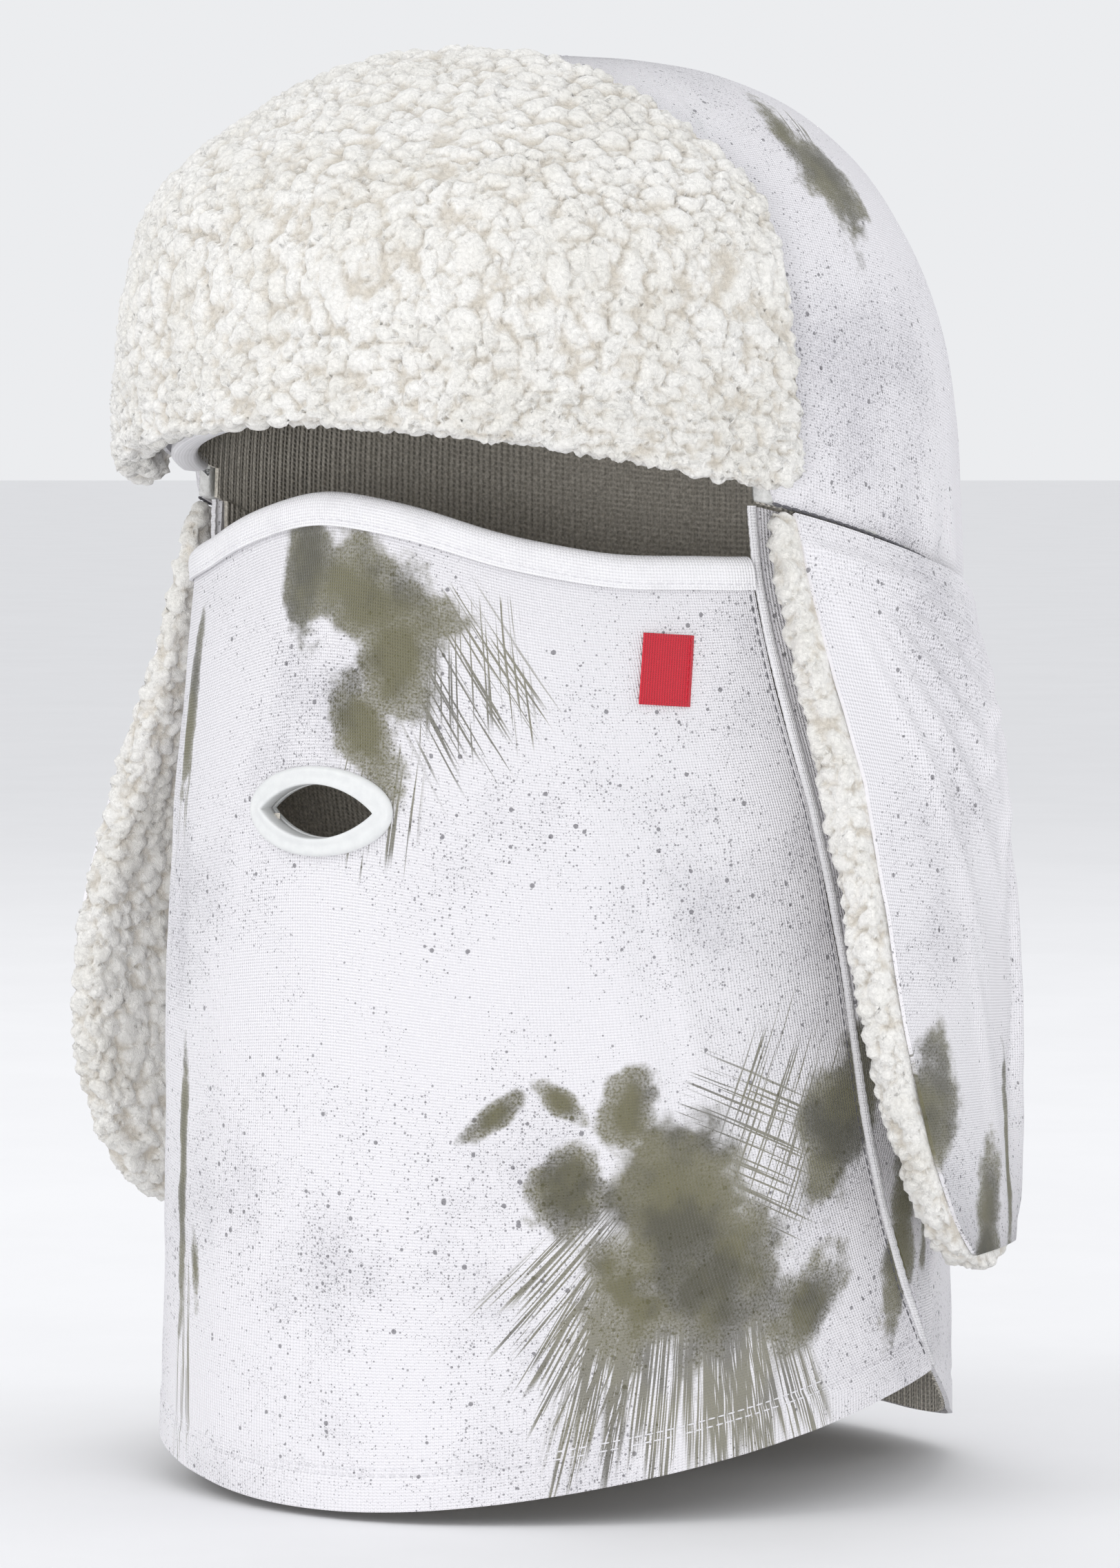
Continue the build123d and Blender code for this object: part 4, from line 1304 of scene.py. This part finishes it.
def pile_pad(name, node, body, neighbours, swell_cap, depth, flow, shape=None):
    """One pad of curly pile, from its CAD solid."""
    pad = own_copy(name, node)
    remesh(pad, PAD_VOXEL)
    swell(pad, swell_cap)
    select_only(pad)
    apply_modifier(pad, "SUBSURF", levels=1, render_levels=1)
    if shape is not None:
        write_points(pad, shape(read_points(pad) / MM) * MM)
    remesh(pad, PILE_VOXEL * (1))
    points = read_points(pad)
    normals = read_normals(pad)
    trees = [tree_of_piece(bpy.data.objects[n]) for n in neighbours]
    free = keep_clear(points, trees, 0.5, 3.2)
    heights = curl_heights(points / MM, CURL_SIZE, flow)
    push = heights * depth * (0.12 + 0.88 * free) - 0.35 * (1 - free)
    moved = points + normals * (push * MM)[:, None]
    write_points(pad, moved)
    # The curl height is kept for the material, which paints shade into the creases between curls with it.
    mark = pad.data.attributes.new("pile_shade_depth", "FLOAT", "POINT")
    mark.data.foreach_set("value", np.clip(heights * 0.5 + 0.5, 0, 1).astype(np.float32))
    finish(pad, body, sherpa, [node])
    bpy.ops.object.shade_smooth()
    print(f"{name}: {len(pad.data.polygons)} faces, free over {100 * free.mean():.0f}% of its skin")
    return pad


def flap_flow(p):
    """Curls lie along the brow, and longer towards its edge."""
    return 1.2 + 1.1 * max(0.0, min(1.0, (40 - p[2]) / 45))


def front_shape(points):
    """Thins the pile over the top and rounds the front flap's two lower corners."""
    tree = tree_of_piece(bpy.data.objects["front_flap_cloth"])
    points = points.copy()
    for i, p in enumerate(points):
        thinner = max(0.0, min(1.0, (p[2] - 48) / 40))
        if thinner > 0:
            near = np.array(tree.find_nearest(Vector(p) * MM)[0]) / MM
            points[i] = near + (p - near) * (1 - 0.48 * thinner * thinner * (3 - 2 * thinner))
    centre_y, centre_z, radius = -57.0, -3.5, 13.0
    y, z = points[:, 1] - centre_y, points[:, 2] - centre_z
    away = np.hypot(y, z)
    outside = (y > 0) & (z < 0) & (away > radius)
    share = np.where(outside, radius / away.clip(1e-6), 1)
    rounded = points.copy()
    rounded[:, 1] = centre_y + y * share
    rounded[:, 2] = centre_z + z * share
    return rounded


pile_pad("front_flap_pile", "front_flap_sherpa", "front_flap", ["front_flap_cloth"], 1.4, 1.5, flap_flow,
         front_shape)
for label in ("left", "right"):
    pile_pad(f"{label}_ear_flap_pile", f"{label}_ear_flap_sherpa", f"{label}_ear_flap",
             [f"{label}_ear_flap_cloth", f"neck_cloth_{label}"], 1.2, 1.4, lambda p: 1.25,
             stand_out if label == "right" else None)
pile_pad("back_flap_pile", "back_flap_sherpa", "hood", ["back_flap_cloth", "neck_cloth_left", "neck_cloth_right"],
         0.6, 1.2, lambda p: 1.2)

# %% Wadding in the crown
wad = own_copy("crown_wadding", "crown_insulation")
remesh(wad, 1.8)
points = read_points(wad)
write_points(wad, points + read_normals(wad) * (0.22 * MM * uneven(points / MM, 6, 14) - 0.15 * MM)[:, None])
finish(wad, "hood", wadding, ["crown_insulation"])

# %% [markdown]
# ## Bindings and trims
# A white tape is folded over the mask's top edge, and a narrow white strip covers the seam
# between the mask and each neck panel. Each is a sheet whose profile is given by a few
# points, so the fold has its round and the stitching pulls it in a little.

# %% Nose-bridge binding
def profile_at(share, points):
    """A place along a profile of (out, drop) points, at an even pace."""
    points = np.array(points, float)
    run = np.concatenate([[0], np.cumsum(np.linalg.norm(np.diff(points, axis=0), axis=1))])
    at = share * run[-1]
    return np.interp(at, run, points[:, 0]), np.interp(at, run, points[:, 1])


fold_turns = np.linspace(0, math.pi, 11)
binding_profile = ([(1.2, 8.0), (1.3, 6.9), (1.25, 4.6), (1.2, 2.6)]
                   + [(-1.4 + 2.6 * math.cos(a), 2.6 - 2.6 * math.sin(a)) for a in fold_turns[1:-1]]
                   + [(-4.0, 2.6), (-4.0, 5.0), (-4.0, 8.0)])
STITCH_DROP = 6.6


def binding_place(across, down):
    out, drop = profile_at(down, binding_profile)
    level = np.full_like(across, -30.0)
    for _ in range(8):
        edge = neck_turn(mask_edge_y(np.minimum(level, -19)), level)
        turn = (-math.pi - edge) + across * (2 * edge + math.pi)
        x = neck_point(turn, level)[:, 0]
        level = bridge_level(x) - drop
    run = turn * 98
    front = np.clip(out + 1, 0, 1)
    pull = 0.28 * np.exp(-(((drop - STITCH_DROP) / 0.8) ** 2)) * (0.8 + 0.2 * np.cos(run * 2 * math.pi / 2.6))
    puff = 0.25 * np.exp(-(((drop - 3.5) / 2.4) ** 2)) * (1 + 0.5 * np.sin(run / 3.1) * np.sin(run / 7.3))
    relief = np.where(front > 0.5, puff - pull, 0)
    face = neck_point(turn, level)
    relief = relief + mask_relief(turn, level, level - 200) * np.where(front > 0.5, 1, 0.4)
    return neck_point(turn, level + 0.12 * np.sin(run / 5.3), out + np.clip(relief, -0.2, 3))


binding = cloth_grid("nose_binding_tape", 240, 34, binding_place, from_axis)
sew_sheet(binding, 0.85, "folded", ["mask_cloth"], "hood", tape, ["nose_bridge_binding"])


# %% Edge trims
def trim_place(side):
    def place(across, down):
        level = -19.3 - (232.2 - 19.3) * down
        wide = TRIM_WIDTH * (across - 0.5) * (0.86 + 0.14 * np.sin(level / 17.0))
        y = mask_edge_y(level) + 0.3 + TRIM_WIDTH / 2 + wide
        turn = neck_turn(y, level)
        turn = turn if side > 0 else math.pi - turn
        domed = 1 - np.abs(2 * across - 1) ** 3
        face = neck_point(turn, level)
        out = -0.5 + 1.35 * domed + 0.25 * uneven(face, 9, 15) - 0.12 * np.cos(level * 2 * math.pi / 2.6)
        return neck_point(turn, level, out)
    return place


for side, label in ((1, "left"), (-1, "right")):
    strip = cloth_grid(f"mask_trim_{label}", 10, 200, trim_place(side), from_axis)
    sew_strip(strip, 0.5, "hood", tape, [f"mask_edge_trim_{label}"])


# %% Brow binding
def brow_binding_place(across, down):
    out, drop = profile_at(down, [(0.1, -1.9), (0.15, 0.0), (-0.6, 0.9), (-3.2, 1.2), (-5.8, 0.9), (-6.5, 0.0), (-6.5, -1.9)])
    turn = -math.pi / 2 + (across - 0.5) * 2 * 1.08
    low = brow_level(CROWN_HALF_WIDTH * np.cos(turn)) + 1.2
    level = low - drop
    share = np.interp(level, DOME_LEVELS, DOME_SHARES)
    return np.stack([(CROWN_HALF_WIDTH * share + out) * np.cos(turn), (CROWN_HALF_DEPTH * share + out) * np.sin(turn),
                     level], -1)


brow_tape = cloth_grid("brow_binding_tape", 200, 18, brow_binding_place, from_axis)
sew_sheet(brow_tape, 0.6, "folded", ["crown_lining_rib"], "hood", tape, ["brow_binding"])

# %% [markdown]
# ## The moulded ring at the mouth
# The ring is one smooth moulding round an almond hole. It is modelled from a circle whose
# edge loop is extruded once for each step of the ring's profile and scaled to its place
# between the outer oval and the almond. Then it is bent onto the mask, because the
# mask is round there, and a subdivision smooths it.

# %% Ring
RING_POINTS = 72
ring_steps = [(0.00, 0.05), (0.00, 0.95), (0.10, 1.65), (0.26, 2.0), (0.44, 1.72), (0.60, 1.70), (0.76, 2.1),
              (0.92, 2.15), (1.0, 1.75), (1.0, 0.0), (1.0, -3.0), (0.86, -3.1), (0.84, 0.05)]
bpy.ops.object.select_all(action="DESELECT")
bpy.ops.mesh.primitive_circle_add(vertices=RING_POINTS, radius=1, rotation=(math.pi / 2, 0, 0))
ring = bpy.context.object
ring.name = ring.data.name = "mouth_ring"
bpy.ops.object.transform_apply(rotation=True)
bpy.ops.object.mode_set(mode="EDIT")
bpy.ops.mesh.select_mode(type="EDGE")
for _ in ring_steps[1:]:
    bpy.ops.mesh.extrude_edges_move(TRANSFORM_OT_translate={"value": (0, -0.01, 0)})
bpy.ops.mesh.select_all(action="SELECT")
bpy.ops.object.mode_set(mode="OBJECT")
loops = read_points(ring)
step_of = np.rint(-loops[:, 1] / 0.01).astype(int)
angle = np.arctan2(loops[:, 2], loops[:, 0])
share = np.array([ring_steps[i][0] for i in step_of])
height = np.array([ring_steps[i][1] for i in step_of])
outer_x, outer_z = RING_WIDTH / 2 * np.cos(angle), RING_HEIGHT / 2 * np.sin(angle)
arc_radius = ((MOUTH_WIDTH / 2) ** 2 + (MOUTH_HEIGHT / 2) ** 2) / MOUTH_HEIGHT
inner_x = MOUTH_WIDTH / 2 * np.cos(angle)
inner_z = np.sign(np.sin(angle)) * (np.sqrt(arc_radius**2 - inner_x**2) - arc_radius + MOUTH_HEIGHT / 2)
x = outer_x + share * (inner_x - outer_x)
z = outer_z + share * (inner_z - outer_z) + MOUTH_LEVEL
half_width, half_depth, shift = neck_sizes(z)
surface = shift - half_depth * np.sqrt(1 - (x / half_width) ** 2)
write_points(ring, np.stack([x, surface - height, z], -1) * MM)
bpy.ops.object.mode_set(mode="EDIT")
bpy.ops.mesh.select_all(action="DESELECT")
bpy.ops.mesh.select_non_manifold()
bpy.ops.mesh.bridge_edge_loops()
bpy.ops.mesh.select_all(action="SELECT")
bpy.ops.mesh.normals_make_consistent(inside=False)
bpy.ops.object.mode_set(mode="OBJECT")
apply_modifier(ring, "SUBSURF", levels=1, render_levels=1)
finish(ring, "hood", ring_plastic, ["breathing_ring"])
print("ring:", len(ring.data.polygons), "faces")

# %% Ring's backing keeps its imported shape
backing = nodes["breathing_ring_backing"]
backing.data.materials.clear()
backing.data.materials.append(ring_plastic)

# %% [markdown]
# ## The red label
# A small woven label is folded under at its edges and sewn flat on the side of the mask.
# It is a plain label with a raised border, with no mark on it.

# %% Label
LABEL_WIDTH = 13
LABEL_HEIGHT = 17
LABEL_TURN = math.radians(-37.5)
LABEL_LEVEL = -58
LABEL_TILT = math.radians(-4)


def label_spot(x, z):
    """A point of the flat label, turned by its tilt and laid on the neck tube."""
    level = LABEL_LEVEL + z * math.cos(LABEL_TILT) + x * math.sin(LABEL_TILT)
    aside = x * math.cos(LABEL_TILT) - z * math.sin(LABEL_TILT)
    return LABEL_TURN + aside / 97.0, level


def label_place(across, down):
    turn, level = label_spot((across - 0.5) * LABEL_WIDTH, (0.5 - down) * LABEL_HEIGHT)
    to_edge = np.minimum(np.minimum(across, 1 - across) * LABEL_WIDTH, np.minimum(down, 1 - down) * LABEL_HEIGHT)
    out = 0.95 + 0.28 * np.exp(-(((to_edge - 0.8) / 0.7) ** 2)) - 0.3 * np.exp(-to_edge / 0.35)
    out = out + 0.12 * np.sin(across * math.pi) + mask_relief(turn, level, level - 150)
    return neck_point(turn, level, out)


label = cloth_grid("side_label_woven", 44, 56, label_place, from_axis)
sew_sheet(label, 0.55, "laid", ["mask_cloth"], "hood", label_red, ["side_label"])

# %% [markdown]
# ## Stitches
# Thread shows along every seam: a row under the binding, two rows along the turned-up hem,
# a dark row beside each edge trim and in the flap seam, and topstitching on both sides of
# the seam over the head. One stitch is modelled from a small ball, then copied along each
# line, lying on the cloth and turned along the seam.

# %% One stitch
bpy.ops.object.select_all(action="DESELECT")
bpy.ops.mesh.primitive_uv_sphere_add(segments=6, ring_count=4, radius=0.5, rotation=(0, math.pi / 2, 0))
one_stitch = bpy.context.object
bpy.ops.object.transform_apply(rotation=True)
stitch_points = read_points(one_stitch)
stitch_points[:, 2] -= 0.55 * np.abs(stitch_points[:, 0]) ** 2
stitch_faces = [tuple(face.vertices) for face in one_stitch.data.polygons]
bpy.data.objects.remove(one_stitch)


def stitch_row(name, line, normals, length, thick, body, material, spacing):
    """Stitches along a line of points in mm, each lying on the cloth."""
    steps = np.linalg.norm(np.diff(line, axis=0), axis=1)
    run = np.concatenate([[0], np.cumsum(steps)])
    count = max(2, int(run[-1] / spacing))
    at = (np.arange(count) + 0.5) * run[-1] / count
    centre = np.stack([np.interp(at, run, line[:, k]) for k in range(3)], -1)
    ahead = np.stack([np.interp(at + 0.6, run, line[:, k]) for k in range(3)], -1)
    behind = np.stack([np.interp(at - 0.6, run, line[:, k]) for k in range(3)], -1)
    up = np.stack([np.interp(at, run, normals[:, k]) for k in range(3)], -1)
    tangent = ahead - behind
    tangent = tangent / np.linalg.norm(tangent, axis=1, keepdims=True).clip(1e-6)
    up = up - tangent * (up * tangent).sum(1, keepdims=True)
    up = up / np.linalg.norm(up, axis=1, keepdims=True).clip(1e-6)
    aside = np.cross(up, tangent)
    shape = stitch_points * (length, thick, thick)
    points = (centre[:, None] + shape[None, :, :1] * tangent[:, None] + shape[None, :, 1:2] * aside[:, None]
              + shape[None, :, 2:] * up[:, None]).reshape(-1, 3)
    faces = [tuple(k * len(stitch_points) + i for i in face) for k in range(count) for face in stitch_faces]
    mesh = bpy.data.meshes.new(name)
    mesh.from_pydata((points * MM).tolist(), [], faces)
    piece = bpy.data.objects.new(name, mesh)
    bpy.context.scene.collection.objects.link(piece)
    finish(piece, body, material)
    bpy.ops.object.shade_smooth()
    print(f"{name}: {count} stitches")


def line_normals(line):
    flat = line * (1, 1, 0)
    return flat / np.linalg.norm(flat, axis=1, keepdims=True).clip(1e-6)


# %% Rows of stitches
along = np.linspace(0.004, 0.996, 500)
profile_run = np.linalg.norm(np.diff(np.array(binding_profile), axis=0), axis=1).sum()
row = binding_place(along, np.full_like(along, (8.0 - STITCH_DROP) / profile_run))
stitch_row("binding_stitches", row + line_normals(row) * 0.12, line_normals(row), 2.0, 0.42, "hood",
           white_thread, 2.6)
for number, height in enumerate((HEM_BAND - 0.9, HEM_BAND + 0.9)):
    turn, _, bottom = mask_spot(along, np.ones_like(along), 3.4)
    level = bottom + height
    edge = neck_turn(mask_edge_y(level), level)
    turn = (-math.pi - edge + 0.01) + along * (2 * edge + math.pi - 0.02)
    row = neck_point(turn, level, mask_relief(turn, level, bottom) + 0.1)
    stitch_row(f"hem_stitches_{number + 1}", row, line_normals(row), 2.1, 0.42, "hood",
               white_thread, 2.7)
for side, label in ((1, "left"), (-1, "right")):
    level = np.linspace(-32, -229, 400)
    bottom = hem_level(mask_edge_y(level))
    turn = neck_turn(mask_edge_y(level) - 1.3, level)
    turn = turn if side > 0 else -math.pi - turn
    row = neck_point(turn, level, mask_relief(turn, level, bottom) + 0.05)
    stitch_row(f"edge_stitches_{label}", row, line_normals(row), 2.3, 0.4, "hood", grey_thread, 2.7)
    y = np.linspace(-39, 74, 200)
    level = seam_level(y) + 0.25
    share = np.where(level < CROWN_SPRING, 1.0, np.interp(level, DOME_LEVELS, DOME_SHARES))
    x = side * (CROWN_HALF_WIDTH * np.sqrt(1 - (y / (CROWN_HALF_DEPTH * share)) ** 2) * share - 1.0)
    row = np.stack([x, y, level], -1)
    stitch_row(f"flap_seam_stitches_{label}", row, line_normals(row), 3.2, 0.9, "hood",
               grey_thread, 3.0)
    climb = np.linspace(0.12, 0.97, 300)
    for end, facing_turn in (("front", -math.pi / 2), ("back", math.pi / 2)):
        turn = np.full_like(climb, facing_turn)
        middle = dome_point(turn, crown_low(turn, 2.5), climb)
        row = middle + np.array([side * 3.6, 0, 0])
        row[:, 2] = row[:, 2] + 0.05
        up = np.stack([0 * climb, row[:, 1] / 140, np.maximum(row[:, 2] + 30, 0) / 150], -1)
        stitch_row(f"crown_stitches_{label}_{end}", row, up, 2.2, 0.42, "hood", white_thread, 2.9)
corners = [(-1, -1), (1, -1), (1, 1), (-1, 1), (-1, -1)]
loop = np.concatenate([np.linspace(a, b, 40)[:-1] for a, b in zip(np.array(corners[:-1], float), np.array(corners[1:], float))])
turn, level = label_spot(loop[:, 0] * (LABEL_WIDTH / 2 - 0.9), loop[:, 1] * (LABEL_HEIGHT / 2 - 0.9))
row = neck_point(turn, level, 1.28 + mask_relief(turn, level, level - 150))
stitch_row("label_stitches", row, line_normals(row), 1.3, 0.3, "hood", label_red, 1.7)
